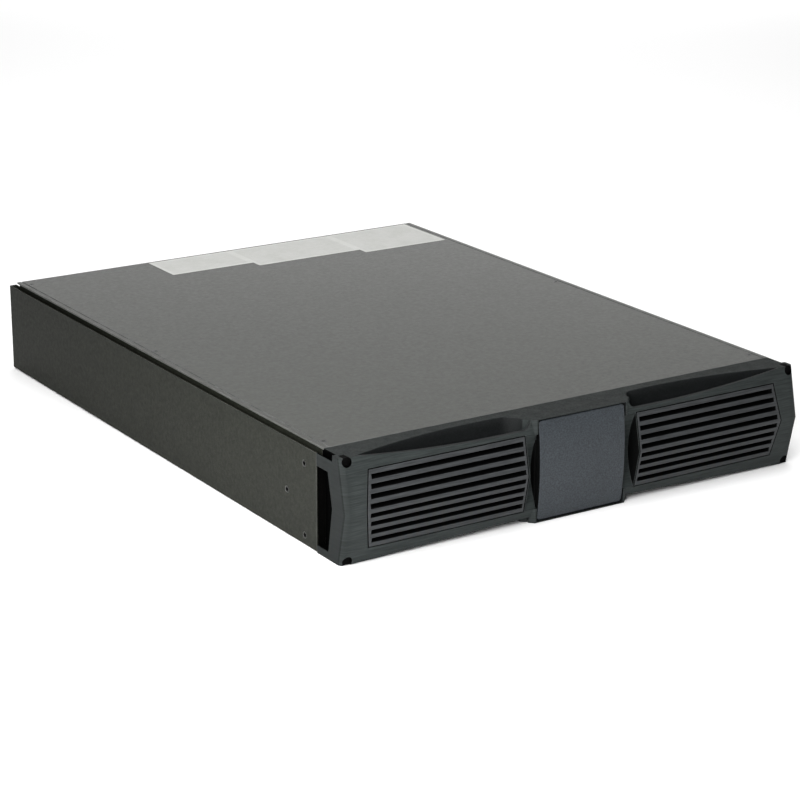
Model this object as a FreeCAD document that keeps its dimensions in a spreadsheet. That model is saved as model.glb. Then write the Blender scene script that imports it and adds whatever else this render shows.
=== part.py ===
import FreeCAD, Part
import math
import os

import Sketcher
from FreeCAD import Placement, Rotation, Vector

# A rack battery pack, two units high: a folded steel case with a moulded front, two trays of sealed
# blocks and a recessed rear panel. The origin is the middle of the underside, the front faces -Y and
# +Z is up. All sizes are millimetres, and angles are degrees.
SIZES = [
    # Case: overall box, folded steel sheet and the channelled shoulder that carries the cover.
    ("width", 440),
    ("depth", 600),
    ("height", 85),
    ("sheet", 1.2),
    ("bend_radius", 1.8),
    ("shoulder_drop", 4.8),
    ("channel_depth", 6),
    ("shoulder_inset", 5.5),
    ("rail_width", 12),
    ("cover_sheet", 1.5),
    ("cover_reach", 5.5),
    ("cover_inset", 3.2),
    ("cover_setback", 10),
    ("line_inset", 4),
    ("line_width", 0.9),
    ("line_depth", 0.6),
    # Screws of the case, with the clearance round their shanks.
    ("screw_radius", 1.5),
    ("screw_head", 2.8),
    ("screw_length", 5),
    ("screw_fit", 0.05),
    ("cover_screw_front", 14),
    ("cover_screw_rear", 14),
    ("cover_screw_shift", 12.5),
    # Rack ear holes in the side walls, with clinch nuts behind them.
    ("ear_setback", 18),
    ("ear_step", 26.5),
    ("ear_low", 8.5),
    ("ear_drop", 13.7),
    ("ear_hole", 2.6),
    ("ear_thread", 1.65),
    ("ear_nut", 4.2),
    ("ear_nut_depth", 2.8),
    # Front plate and rear panel, each with a foot that is screwed to the floor.
    ("plate_gap", 0.3),
    ("plate_setback", 2),
    ("rear_recess", 15),
    ("foot_depth", 10),
    ("foot_inset", 20),
    ("foot_screw_inner", 50),
    ("foot_screw_outer", 150),
    ("vent_height", 4),
    ("vent_pitch", 12),
    ("vent_rows", 5),
    ("vent_inner", 70),
    ("vent_edge", 35),
    ("rear_vent_inner", 120),
    ("rear_vent_edge", 30),
    # Bezel: a moulding with a ridge along the middle of its front.
    ("bezel_depth", 43),
    ("edge_setback", 9),
    ("bezel_wall", 2.5),
    ("end_radius", 4.8),
    ("insert_setback", 13),
    ("cheek_width", 17),
    ("cheek_height", 12),
    ("corner_recess", 4),
    ("corner_inset", 5.8),
    ("corner_drop_top", 3.1),
    ("corner_drop_bottom", 3),
    ("corner_depth", 8),
    ("plug_fit", 0.05),
    ("plug_sunk", 0.8),
    ("groove_end", 20),
    ("notch_low", 6.5),
    ("notch_drop", 15),
    ("notch_edge", 26.5),
    ("notch_ridge", 20.5),
    ("notch_depth", 8),
    # Finger scoops along the top and bottom edges of the front.
    ("scoop_tip_inset", 16),
    ("scoop_inner", 48),
    ("scoop_flank", 4),
    ("scoop_back", 26.5),
    ("scoop_corner", 13),
    ("scoop_sweep", 420),
    ("scoop_floor", 14.5),
    ("scoop_wall", 2),
    ("lip_wall", 2),
    ("lip_drop_top", 7.5),
    ("lip_drop_bottom", 5.2),
    ("lip_round", 7),
    ("lip_sweep", 1100),
    ("lip_tip_inset", 5.5),
    # Louvred inserts of the bezel.
    ("grille_inner", 54),
    ("grille_margin", 11),
    ("grille_end", 18),
    ("grille_taper", 5),
    ("insert_gap", 0.6),
    ("slot_count", 8),
    ("slot_height", 3.6),
    ("slot_edge_margin", 3.75),
    ("slot_inner_margin", 2),
    ("slot_outer_margin", 2.8),
    # Centre block, its badge plate and the finger pockets at both sides of the plate.
    ("block_half", 44),
    ("block_proud", 3.5),
    ("block_depth", 17),
    ("panel_width", 83),
    ("panel_margin", 1.5),
    ("panel_gap", 1),
    ("panel_back", 9.5),
    ("panel_edge", 6.5),
    ("panel_bow", 280),
    ("panel_corner", 3),
    ("pocket_width", 10.7),
    ("pocket_half", 30.5),
    ("pocket_rim", 6.7),
    ("pocket_sweep", 62),
    # Snap studs on the front plate that hold the bezel.
    ("stud_inset", 12),
    ("stud_height", 7.5),
    ("stud_radius", 2.5),
    ("stud_base", 4),
    ("stud_base_height", 1.5),
    ("stud_length", 12),
    ("stud_fit", 0.1),
    # Sealed blocks lying on their sides, in two trays.
    ("cell_edge", 2),
    ("cell_gap", 0.5),
    ("cell_rows", 3),
    ("string_gap", 20),
    ("tab_inset", 15.5),
    ("tab_drop", 20),
    ("tab_length", 6),
    ("tab_width", 6.4),
    ("tab_sheet", 0.8),
    ("tray_sheet", 1),
    ("tray_height", 30),
    ("tray_clearance", 0.5),
    ("tray_channel", 8),
    ("tray_side_gap", 3.8),
    ("tray_setback", 2),
    ("rear_bay", 68.6),
    ("tab_plate_width", 40),
    ("tab_plate_margin", 2.8),
    ("window_width", 24),
    ("window_height", 10),
    ("pull_width", 60),
    ("pull_bar", 4),
    ("pull_reach", 9),
    ("pull_height", 20),
    # Wiring: push-on terminals, leads and the two halves of each module connector.
    ("terminal_width", 5),
    ("terminal_height", 9),
    ("terminal_length", 8),
    ("terminal_standoff", 0.8),
    ("terminal_fit", 0.1),
    ("lead_radius", 2),
    ("plug_width", 36),
    ("plug_height", 20),
    ("plug_depth", 16),
    ("socket_depth", 14),
    ("lead_spread", 8),
    ("inner_turn", 12),
    ("lead_step", 9),
    ("foam_inset", 25),
    ("foam_width", 25),
    ("foam_height", 16.3),
    # Rear circuit breaker with a rocking lever.
    ("breaker_width", 38),
    ("breaker_depth", 50),
    ("breaker_height", 52),
    ("pivot_depth", 10),
    ("pivot_radius", 1.5),
    ("pivot_fit", 0.05),
    ("lever_width", 8),
    ("lever_gap", 0.8),
    ("lever_hub", 5),
    ("lever_reach", 23),
    ("lever_root", 3.4),
    ("lever_tip", 2.4),
    ("lever_throw", 40),
    ("lever_well", 12),
    ("lever_well_depth", 17),
    # Rear direct current connectors and ground stud.
    ("port_spacing", 75),
    ("port_width", 46),
    ("port_height", 30),
    ("port_inside", 13),
    ("port_outside", 12),
    ("port_wall", 3),
    ("port_floor", 4),
    ("port_fit", 0.3),
    ("blade_width", 9),
    ("blade_sheet", 2.5),
    ("blade_length", 10),
    ("ground_inset", 25),
    ("ground_height", 18),
    ("ground_radius", 2.5),
    ("ground_length", 14),
    ("ground_nut", 4.6),
    ("ground_nut_height", 3.5),
    # Paper labels at the rear of the cover: three strips side by side.
    ("label_sheet", 0.12),
    ("label_margin", 3),
    ("label_right", 11.5),
    ("label_left_width", 86),
    ("label_middle_width", 112),
    ("label_right_width", 92.5),
    ("label_left_depth", 51),
    ("label_middle_depth", 63.5),
    ("label_right_depth", 75),
]

# Places that several pieces share, worked out from the sizes.
PLACES = [
    ("side", "=Size.width / 2"),
    ("front", "=-Size.depth / 2"),
    ("rear", "=Size.depth / 2"),
    ("middle", "=Size.height / 2"),
    ("edge", "=front + Size.edge_setback"),
    ("seam", "=front + Size.bezel_depth"),
    ("cover_front", "=seam - Size.cover_reach"),
    ("cover_side", "=side - Size.cover_inset"),
    ("cover_rear", "=rear - Size.cover_setback"),
    ("ledge", "=Size.height - Size.shoulder_drop"),
    ("channel", "=ledge - Size.channel_depth"),
    ("shoulder", "=side - Size.shoulder_inset"),
    ("rail_top", "=Size.height - Size.cover_sheet"),
    ("rail_under", "=rail_top - Size.sheet"),
    ("rail_edge", "=shoulder - Size.rail_width"),
    ("rail_middle", "=shoulder - Size.rail_width / 2"),
    ("plate_front", "=seam + Size.plate_setback"),
    ("plate_back", "=plate_front + Size.sheet"),
    ("panel_outer", "=rear - Size.rear_recess"),
    ("panel_inner", "=panel_outer - Size.sheet"),
    ("foot_top", "=2 * Size.sheet"),
    ("insert_back", "=front + Size.insert_setback"),
    ("cheek", "=side - Size.cheek_width"),
    ("scoop_rear", "=front + Size.scoop_back"),
    ("lip_back", "=edge + Size.lip_wall"),
    ("tub_back", "=scoop_rear + Size.scoop_wall"),
    ("tub_depth", "=Size.scoop_floor + Size.scoop_wall"),
    ("block_front", "=edge - Size.block_proud"),
    ("block_back", "=front + Size.block_depth"),
    ("panel_seat", "=front + Size.panel_back"),
    ("recess_half", "=Size.panel_width / 2 + Size.panel_gap"),
    ("grille_outer", "=side - Size.grille_end"),
    ("slot_span", "=Size.height - 2 * (Size.grille_margin + Size.insert_gap + Size.slot_edge_margin)"),
    ("slot_pitch", "=(slot_span - Size.slot_height) / (Size.slot_count - 1)"),
    ("tray_floor", "=Size.sheet + Size.tray_sheet"),
    ("tray_half", "=(side - Size.sheet - Size.tray_side_gap - Size.tray_channel / 2) / 2"),
    ("tray_centre", "=Size.tray_channel / 2 + tray_half"),
    ("tray_front", "=plate_back + Size.foot_depth + Size.tray_setback"),
    ("tray_rear", "=panel_inner - Size.rear_bay"),
    ("cell_start", "=tray_front + Size.tray_sheet + Size.tray_clearance"),
    ("cell_end", "=tray_rear - Size.tray_sheet - Size.tray_clearance"),
    ("cell_step", "=(cell_end - cell_start + Size.cell_gap) / Size.cell_rows"),
    ("cell_length", "=cell_step - Size.cell_gap"),
    ("cell_width", "=tray_half - Size.tray_sheet - Size.tray_clearance - Size.string_gap / 2"),
    ("cell_top", "=rail_top - Size.foam_height"),
    ("cell_height", "=cell_top - tray_floor"),
    ("cell_centre", "=Size.string_gap / 2 + cell_width / 2"),
    ("tab_spread", "=cell_length / 2 - Size.tab_inset"),
    ("tab_height", "=cell_height - Size.tab_drop"),
    ("tab_level", "=tray_floor + tab_height"),
    ("plug_rear", "=tray_rear + Size.plug_depth"),
    ("socket_rear", "=plug_rear + Size.socket_depth"),
    ("pivot", "=panel_inner - Size.pivot_depth"),
    ("port_level", "=middle"),
]

# How far a cut runs past the face that it opens.
PAST = "10"

doc = FreeCAD.newDocument("BatteryPack")
pieces = []


def fill_sheet(name, rows):
    """A sheet with one named cell per row."""
    sheet = doc.addObject("Spreadsheet::Sheet", name)
    for number, (alias, content) in enumerate(rows, start=1):
        sheet.set(f"A{number}", str(content))
        sheet.setAlias(f"A{number}", alias)
    doc.recompute()
    return sheet


sizes = fill_sheet("Size", SIZES)
fill_sheet("Place", PLACES)


def value(expression):
    """The number that an expression over the sheets gives."""
    return float(sizes.evalExpression(expression))


def bind(item, expressions):
    """Tie properties of an object to expressions."""
    for path, expression in expressions.items():
        item.setExpression(path, expression)


def piece(item, label):
    """Name an object as one sub-part of the pack."""
    item.Label = label
    pieces.append(item)
    return item


def new_body(label):
    """A body for one sub-part that is built from sketches."""
    return piece(doc.addObject("PartDesign::Body", "Body"), label)


def origin_plane(body, name):
    """One of a body's own origin planes: XY, XZ or YZ."""
    role = f"{name}_Plane"
    return next(feature for feature in body.Origin.OriginFeatures if feature.Role == role)


def new_sketch(body, plane, offset):
    """An empty sketch parallel to an origin plane of its body."""
    sketch = body.newObject("Sketcher::SketchObject", "Sketch")
    sketch.AttachmentSupport = [(origin_plane(body, plane), "")]
    sketch.MapMode = "FlatFace"
    sketch.setExpression("AttachmentOffset.Base.z", offset)
    return sketch


def hold(sketch, kind, expression, *where):
    """One driven constraint of a sketch."""
    number = sketch.addConstraint(Sketcher.Constraint(kind, *where, value(expression)))
    sketch.setExpression(f"Constraints[{number}]", expression)


def side_arc(start, end, side, radius):
    """The short arc between two points that bulges to the left or right of the way from one to the other."""
    chord = end - start
    across = Vector(-chord.y, chord.x, 0).normalize()
    rise = radius - math.sqrt(radius ** 2 - (chord.Length / 2) ** 2)
    bulge = rise if side == "left" else -rise
    return Part.Arc(start, (start + end) * 0.5 + across * bulge, end)


def draw_loop(sketch, corners):
    """A closed outline of corners, each two expressions, with a side and a radius where an arc leads on."""
    points = [Vector(value(corner[0]), value(corner[1]), 0) for corner in corners]
    count = len(corners)
    first = sketch.GeometryCount
    ends = []
    for number, corner in enumerate(corners):
        here = points[number]
        there = points[(number + 1) % count]
        if len(corner) == 2:
            sketch.addGeometry(Part.LineSegment(here, there), False)
            ends.append((1, 2))
        else:
            sketch.addGeometry(side_arc(here, there, corner[2], value(corner[3])), False)
            ends.append((2, 1) if corner[2] == "left" else (1, 2))
    for number, corner in enumerate(corners):
        after = (number + 1) % count
        joint = (first + number, ends[number][1], first + after, ends[after][0])
        sketch.addConstraint(Sketcher.Constraint("Coincident", *joint))
    for number, corner in enumerate(corners):
        hold(sketch, "DistanceX", corner[0], -1, 1, first + number, ends[number][0])
        hold(sketch, "DistanceY", corner[1], -1, 1, first + number, ends[number][0])
        if len(corner) > 2:
            hold(sketch, "Radius", corner[3], first + number)


def draw_circle(sketch, across, up, radius):
    """A circle about a point of a sketch."""
    centre = Vector(value(across), value(up), 0)
    number = sketch.addGeometry(Part.Circle(centre, Vector(0, 0, 1), value(radius)), False)
    hold(sketch, "DistanceX", across, -1, 1, number, 3)
    hold(sketch, "DistanceY", up, -1, 1, number, 3)
    hold(sketch, "Radius", radius, number)


def rectangle(low, high):
    """The corners of a rectangle between two corners."""
    return [(low[0], low[1]), (high[0], low[1]), (high[0], high[1]), (low[0], high[1])]


def add_feature(body, kind, plane, span, loops, circles):
    """A pad or pocket of outlines and circles between two places along the plane's axis."""
    low, high = span
    from_high = (kind == "PartDesign::Pocket") != (plane == "XZ")
    start = high if from_high else low
    sketch = new_sketch(body, plane, f"-({start})" if plane == "XZ" else start)
    for corners in loops:
        draw_loop(sketch, corners)
    for circle in circles:
        draw_circle(sketch, *circle)
    feature = body.newObject(kind, kind.split("::")[1])
    feature.Profile = sketch
    feature.setExpression("Length", f"({high}) - ({low})")
    return feature


def prism(body, plane, span, *loops, circles=()):
    """Material added between two places along the plane's axis."""
    return add_feature(body, "PartDesign::Pad", plane, span, loops, circles)


def cutout(body, plane, span, *loops, circles=()):
    """Material removed between two places along the plane's axis."""
    return add_feature(body, "PartDesign::Pocket", plane, span, loops, circles)


def soften(body, kind, size_name, size, wanted):
    """Fillet or chamfer the edges of a body's last feature that pass a test of their two ends."""
    doc.recompute()
    base = body.Tip
    edges = []
    for number, edge in enumerate(base.Shape.Edges, start=1):
        if wanted(edge, [vertex.Point for vertex in edge.Vertexes]):
            edges.append(f"Edge{number}")
    feature = body.newObject(kind, kind.split("::")[1])
    feature.Base = (base, edges)
    feature.setExpression(size_name, size)
    return feature


def near(number, expression):
    """Whether a measured number is where an expression says."""
    return abs(number - value(expression)) < 0.001


def block(low, high):
    """A box between two corners."""
    box = doc.addObject("Part::Box", "Block")
    for side, axis, start, end in zip(("Length", "Width", "Height"), "xyz", low, high):
        bind(box, {side: f"({end}) - ({start})", f"Placement.Base.{axis}": start})
    return box


TURNS = {
    "x": Rotation(Vector(0, 1, 0), 90),
    "y": Rotation(Vector(1, 0, 0), -90),
    "z": Rotation(),
    "-z": Rotation(Vector(1, 0, 0), 180),
    "-y": Rotation(Vector(1, 0, 0), 90),
}


def rod(axis, start, length, radius):
    """A round bar that leaves a point along an axis."""
    bar = doc.addObject("Part::Cylinder", "Rod")
    bar.Placement = Placement(Vector(), TURNS[axis])
    bind(bar, {"Radius": radius, "Height": length})
    bind(bar, {f"Placement.Base.{name}": place for name, place in zip("xyz", start)})
    return bar


def taper(axis, start, length, radius, end_radius):
    """A cone that leaves a point along an axis."""
    cone = doc.addObject("Part::Cone", "Taper")
    cone.Placement = Placement(Vector(), TURNS[axis])
    bind(cone, {"Radius1": radius, "Radius2": end_radius, "Height": length})
    bind(cone, {f"Placement.Base.{name}": place for name, place in zip("xyz", start)})
    return cone


def fused(*items):
    """Several shapes made one."""
    whole = doc.addObject("Part::MultiFuse", "Whole")
    whole.Shapes = list(items)
    return whole


def without(base, tool):
    """A shape with another cut out of it."""
    rest = doc.addObject("Part::Cut", "Rest")
    rest.Base = base
    rest.Tool = tool
    return rest


def group(label, items):
    """Like pieces that share one node."""
    whole = doc.addObject("Part::Compound", "Group")
    whole.Links = list(items)
    return piece(whole, label)


def mirrored(expression, sign):
    """An expression on the left or right half."""
    return f"{sign} * ({expression})"


def face_depth(height):
    """Where the ridged front stands at a height, given as an expression."""
    return f"Place.front + Size.edge_setback * abs(Place.middle - ({height})) / Place.middle"


def foot_screw_places():
    """Where the screws of an end plate's foot stand across the case."""
    return [mirrored(f"Size.foot_screw_{name}", sign) for sign in (-1, 1) for name in ("inner", "outer")]


def cover_screw_places():
    """The six countersunk screws of the cover, in its corners and near half its length."""
    lengths = [
        "Place.cover_front + Size.cover_screw_front",
        "(Place.cover_front + Place.cover_rear) / 2 + Size.cover_screw_shift",
        "Place.cover_rear - Size.cover_screw_rear",
    ]
    return [(mirrored("Place.rail_middle", sign), along) for sign in (-1, 1) for along in lengths]


def ear_places():
    """The three rack ear holes of a side wall, as depth and height."""
    first = "Place.seam + Size.ear_setback"
    low = "Size.ear_low"
    high = "Place.ledge - Size.ear_drop"
    return [(first, low), (first, high), (f"{first} + Size.ear_step", f"({low} + {high}) / 2")]


FOOT_MIDDLES = {
    "front": "Place.plate_back + Size.foot_depth / 2",
    "rear": "Place.panel_inner - Size.foot_depth / 2",
}


def make_chassis():
    """Folded steel floor and side walls, with a channel, closed at the rear, outside the rails."""
    body = new_body("chassis")
    outer = [
        ("Place.rail_edge", "Place.rail_top"),
        ("Place.shoulder", "Place.rail_top"),
        ("Place.shoulder", "Place.channel"),
        ("Place.side - Size.sheet", "Place.channel"),
        ("Place.side - Size.sheet", "Place.ledge"),
        ("Place.side", "Place.ledge"),
        ("Place.side", "0"),
    ]
    inner = [
        ("Place.side - Size.sheet", "Size.sheet"),
        ("Place.side - Size.sheet", "Place.channel - Size.sheet"),
        ("Place.shoulder - Size.sheet", "Place.channel - Size.sheet"),
        ("Place.shoulder - Size.sheet", "Place.rail_under"),
        ("Place.rail_edge", "Place.rail_under"),
    ]
    left_outer = [(mirrored(across, -1), up) for across, up in outer]
    left_inner = [(mirrored(across, -1), up) for across, up in inner]
    section = left_outer + outer[::-1] + inner[::-1] + left_inner
    prism(body, "XZ", ("Place.seam", "Place.rear"), section)
    soften(body, "PartDesign::Fillet", "Radius", "Size.bend_radius", lambda edge, ends: (
        len(ends) == 2 and abs(ends[0].y - ends[1].y) > 1
        and near(ends[0].z, "0") and near(abs(ends[0].x), "Place.side")))
    behind_cover = rectangle(
        ("Place.cover_rear", "Place.ledge"), (f"Place.rear + {PAST}", f"Size.height + {PAST}"))
    cutout(body, "YZ", ("-Place.side + Size.sheet", "Place.side - Size.sheet"), behind_cover)
    for sign in (-1, 1):
        ends = (mirrored("Place.shoulder - Size.sheet", sign), mirrored("Place.side - Size.sheet", sign))
        left, right = sorted(ends, key=value)
        end_tab = rectangle((left, "Place.channel - Size.sheet"), (right, "Place.ledge"))
        prism(body, "XZ", ("Place.rear - Size.sheet", "Place.rear"), end_tab)
    ear_holes = [(along, up, "Size.ear_hole") for along, up in ear_places()]
    for sign in (-1, 1):
        wall = sorted((mirrored("Place.side", sign), mirrored("Place.side - Size.sheet", sign)), key=value)
        cutout(body, "YZ", wall, circles=ear_holes)
    hole = "Size.screw_radius + Size.screw_fit"
    rail_holes = [(across, along, hole) for across, along in cover_screw_places()]
    cutout(body, "XY", ("Place.rail_under", "Place.rail_top"), circles=rail_holes)
    floor_holes = [(across, along, hole) for along in FOOT_MIDDLES.values() for across in foot_screw_places()]
    cutout(body, "XY", ("0", "Size.sheet"), circles=floor_holes)


def make_ear_nuts():
    """Threaded clinch nuts pressed into the ear holes from inside."""
    nuts = []
    for sign in (-1, 1):
        inside = mirrored("Place.side - Size.sheet", sign)
        inner_end = mirrored("Place.side - Size.sheet - Size.ear_nut_depth", sign)
        start = inner_end if sign > 0 else inside
        spigot = inside if sign > 0 else mirrored("Place.side", sign)
        bore = inner_end if sign > 0 else mirrored("Place.side", sign)
        for along, up in ear_places():
            flange = rod("x", (start, along, up), "Size.ear_nut_depth", "Size.ear_nut")
            neck = rod("x", (spigot, along, up), "Size.sheet", "Size.ear_hole - Size.screw_fit")
            thread = rod("x", (bore, along, up), "Size.ear_nut_depth + Size.sheet", "Size.ear_thread")
            nuts.append(without(fused(flange, neck), thread))
    group("ear_nuts", nuts)


def make_cover():
    """Steel cover plate that lies on the rails, with a pressed line inside each long edge."""
    body = new_body("top_cover")
    left = mirrored("Place.cover_side", -1)
    plate = rectangle((left, "Place.cover_front"), ("Place.cover_side", "Place.cover_rear"))
    prism(body, "XY", ("Place.rail_top", "Size.height"), plate)
    holes = [(across, along, "Size.screw_radius + Size.screw_fit") for across, along in cover_screw_places()]
    cutout(body, "XY", ("Place.rail_top", "Size.height"), circles=holes)
    soften(body, "PartDesign::Chamfer", "Size", "Size.screw_head - Size.screw_radius", lambda edge, ends: (
        len(ends) == 1 and near(ends[0].z, "Size.height")))
    lines = []
    for sign in (-1, 1):
        near_side = mirrored("Place.cover_side - Size.line_inset", sign)
        far_side = mirrored("Place.cover_side - Size.line_inset - Size.line_width", sign)
        lines.append(rectangle((near_side, "Place.cover_front"), (far_side, "Place.cover_rear")))
    cutout(body, "XY", ("Size.height - Size.line_depth", "Size.height"), *lines)


def make_cover_screws():
    """Countersunk screws of the cover, flush with it and through the rails."""
    screws = []
    sink = "Size.screw_head - Size.screw_radius"
    for across, along in cover_screw_places():
        top = (across, along, "Size.height")
        head = taper("-z", top, sink, "Size.screw_head", "Size.screw_radius")
        shank = rod("-z", top, "Size.screw_length", "Size.screw_radius")
        screws.append(fused(head, shank))
    group("cover_screws", screws)


def plate_outline():
    """An end plate's outline inside the channelled section of the chassis."""
    right = [
        ("Place.side - Size.sheet - Size.plate_gap", "Size.sheet"),
        ("Place.side - Size.sheet - Size.plate_gap", "Place.channel - Size.sheet - Size.plate_gap"),
        ("Place.shoulder - Size.sheet - Size.plate_gap", "Place.channel - Size.sheet - Size.plate_gap"),
        ("Place.shoulder - Size.sheet - Size.plate_gap", "Place.rail_under - Size.plate_gap"),
    ]
    return right + [(mirrored(across, -1), up) for across, up in right[::-1]]


def foot_outline(inner, outer):
    """The foot of an end plate, seen from above."""
    half = "Place.side - Size.sheet - Size.foot_inset"
    return rectangle((mirrored(half, -1), inner), (half, outer))


def stud_places():
    """Where the four snap studs of the bezel stand."""
    heights = ("Size.stud_height", "Size.height - Size.stud_height")
    across = "Place.side - Size.stud_inset"
    return [(mirrored(across, sign), up) for sign in (-1, 1) for up in heights]


def make_front_plate():
    """Vented steel plate behind the bezel, which keeps the trays in."""
    body = new_body("front_plate")
    prism(body, "XZ", ("Place.plate_front", "Place.plate_back"), plate_outline())
    foot = foot_outline("Place.plate_back", "Place.plate_back + Size.foot_depth")
    prism(body, "XY", ("Size.sheet", "Place.foot_top"), foot)
    vents = []
    rows = int(value("Size.vent_rows"))
    for row in range(rows):
        level = f"Place.middle + {row - (rows - 1) / 2} * Size.vent_pitch"
        for sign in (-1, 1):
            low = (mirrored("Size.vent_inner", sign), f"{level} - Size.vent_height / 2")
            high = (mirrored("Place.side - Size.vent_edge", sign), f"{level} + Size.vent_height / 2")
            vents.append(rectangle(low, high))
    cutout(body, "XZ", ("Place.plate_front", "Place.plate_back"), *vents)
    holes = [(across, up, "Size.stud_radius") for across, up in stud_places()]
    cutout(body, "XZ", ("Place.plate_front", "Place.plate_back"), circles=holes)
    hole = "Size.screw_radius + Size.screw_fit"
    foot_holes = [(across, FOOT_MIDDLES["front"], hole) for across in foot_screw_places()]
    cutout(body, "XY", ("Size.sheet", "Place.foot_top"), circles=foot_holes)


def make_rear_panel():
    """Recessed steel panel that carries the connectors, the breaker and the ground stud."""
    body = new_body("rear_panel")
    prism(body, "XZ", ("Place.panel_inner", "Place.panel_outer"), plate_outline())
    foot = foot_outline("Place.panel_inner - Size.foot_depth", "Place.panel_inner")
    prism(body, "XY", ("Size.sheet", "Place.foot_top"), foot)
    openings = [rectangle(
        ("-Size.lever_width / 2 - Size.lever_gap", "Place.middle - Size.lever_well"),
        ("Size.lever_width / 2 + Size.lever_gap", "Place.middle + Size.lever_well"))]
    for sign in (-1, 1):
        centre = mirrored("Size.port_spacing", sign)
        half_width = "Size.port_width / 2 + Size.port_fit"
        half_height = "Size.port_height / 2 + Size.port_fit"
        openings.append(rectangle(
            (f"{centre} - ({half_width})", f"Place.port_level - ({half_height})"),
            (f"{centre} + ({half_width})", f"Place.port_level + ({half_height})")))
    rows = int(value("Size.vent_rows"))
    for row in range(rows):
        level = f"Place.middle + {row - (rows - 1) / 2} * Size.vent_pitch"
        for sign in (-1, 1):
            low = (mirrored("Size.rear_vent_inner", sign), f"{level} - Size.vent_height / 2")
            high = (mirrored("Place.side - Size.rear_vent_edge", sign), f"{level} + Size.vent_height / 2")
            openings.append(rectangle(low, high))
    cutout(body, "XZ", ("Place.panel_inner", "Place.panel_outer"), *openings)
    ground = ("Place.side - Size.ground_inset + Size.sheet", "Size.ground_height", "Size.ground_radius")
    cutout(body, "XZ", ("Place.panel_inner", "Place.panel_outer"), circles=[ground])
    hole = "Size.screw_radius + Size.screw_fit"
    foot_holes = [(across, FOOT_MIDDLES["rear"], hole) for across in foot_screw_places()]
    cutout(body, "XY", ("Size.sheet", "Place.foot_top"), circles=foot_holes)


def make_foot_screws(label, end):
    """Pan head screws through an end plate's foot into the floor."""
    screws = []
    for across in foot_screw_places():
        seat = (across, FOOT_MIDDLES[end], "Place.foot_top")
        head = rod("z", seat, "Size.screw_radius", "Size.screw_head")
        shank = rod("-z", seat, "Place.foot_top - Size.screw_fit", "Size.screw_radius")
        screws.append(fused(head, shank))
    group(label, screws)


def make_bezel_studs():
    """Turned snap studs riveted into the front plate."""
    studs = []
    for across, up in stud_places():
        face = (across, "Place.plate_front", up)
        base = rod("-y", face, "Size.stud_base_height", "Size.stud_base")
        tail = rod("y", face, "Size.sheet", "Size.stud_radius")
        shank = rod("-y", face, "Size.stud_length - Size.stud_radius", "Size.stud_radius")
        nose_start = (across, "Place.plate_front - Size.stud_length + Size.stud_radius", up)
        nose = taper("-y", nose_start, "Size.stud_radius", "Size.stud_radius", "Size.stud_radius / 2")
        studs.append(fused(base, tail, shank, nose))
    group("bezel_studs", studs)


def level(height, distance):
    """A height measured inwards from the top or the bottom edge."""
    return f"Size.height - ({distance})" if height == "top" else distance


def cut_scoop(body, sign, height):
    """One finger scoop: a recess behind the lip and a cut along the lip, swept at the top edge."""
    bulge = "left" if sign > 0 else "right"
    corner_turn = "right" if sign > 0 else "left"
    tip = mirrored("Place.side - Size.scoop_tip_inset", sign)
    flank = "Size.scoop_inner + Size.scoop_flank"
    recess = [
        (mirrored("Size.scoop_inner", sign), "Place.lip_back"),
        (mirrored(flank, sign), "Place.scoop_rear - Size.scoop_corner", bulge, "Size.scoop_corner"),
        (mirrored(f"{flank} + Size.scoop_corner", sign), "Place.scoop_rear", bulge, "Size.scoop_sweep"),
        (tip, "Place.lip_back"),
    ]
    span = (level(height, "Size.scoop_floor"), level(height, f"-{PAST}"))
    cutout(body, "XY", sorted(span, key=value), recess)
    inner = mirrored("Size.scoop_inner", sign)
    if height == "top":
        turn_end = mirrored("Size.scoop_inner + Size.lip_round", sign)
        edge = [
            (inner, "Size.height - Size.lip_drop_top + Size.lip_round", corner_turn, "Size.lip_round"),
            (turn_end, "Size.height - Size.lip_drop_top", corner_turn, "Size.lip_sweep"),
        ]
    else:
        tip = mirrored("Place.side - Size.lip_tip_inset", sign)
        edge = [(inner, "Size.lip_drop_bottom")]
    past = level(height, f"-{PAST}")
    lip = [(inner, past), *edge, (tip, level(height, "0")), (tip, past)]
    cutout(body, "XZ", (f"Place.front - {PAST}", "Place.lip_back"), lip)


def cut_end(body, sign):
    """The hollow, side notch and shoulder groove at one end of the bezel."""
    outside = mirrored(f"Place.side + {PAST}", sign)
    inside = mirrored("Place.side - Size.notch_depth - Size.bezel_wall", sign)
    hollow = sorted((mirrored("Place.cheek", sign), inside), key=value)
    chamber = rectangle(
        ("Place.insert_back", "Size.cheek_height"),
        (f"Place.seam + {PAST}", "Size.height - Size.cheek_height"))
    cutout(body, "YZ", hollow, chamber)
    notch = [
        (f"Place.seam + {PAST}", "Size.notch_low"),
        ("Place.front + Size.notch_edge", "Size.notch_low"),
        ("Place.front + Size.notch_ridge", "Place.middle"),
        ("Place.front + Size.notch_edge", "Size.height - Size.notch_drop"),
        (f"Place.seam + {PAST}", "Size.height - Size.notch_drop"),
    ]
    notch_span = sorted((outside, mirrored("Place.side - Size.notch_depth", sign)), key=value)
    cutout(body, "YZ", notch_span, notch)
    groove_start = "Place.front + Size.groove_end"
    shoulder = rectangle((groove_start, "Place.ledge"), (f"Place.seam + {PAST}", f"Size.height + {PAST}"))
    cutout(body, "YZ", sorted((outside, mirrored("Place.cover_side", sign)), key=value), shoulder)
    groove = rectangle((groove_start, "Place.channel"), (f"Place.seam + {PAST}", "Place.rail_top"))
    groove_ends = (mirrored("Place.side - Size.sheet", sign), mirrored("Place.shoulder", sign))
    cutout(body, "YZ", sorted(groove_ends, key=value), groove)


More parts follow.
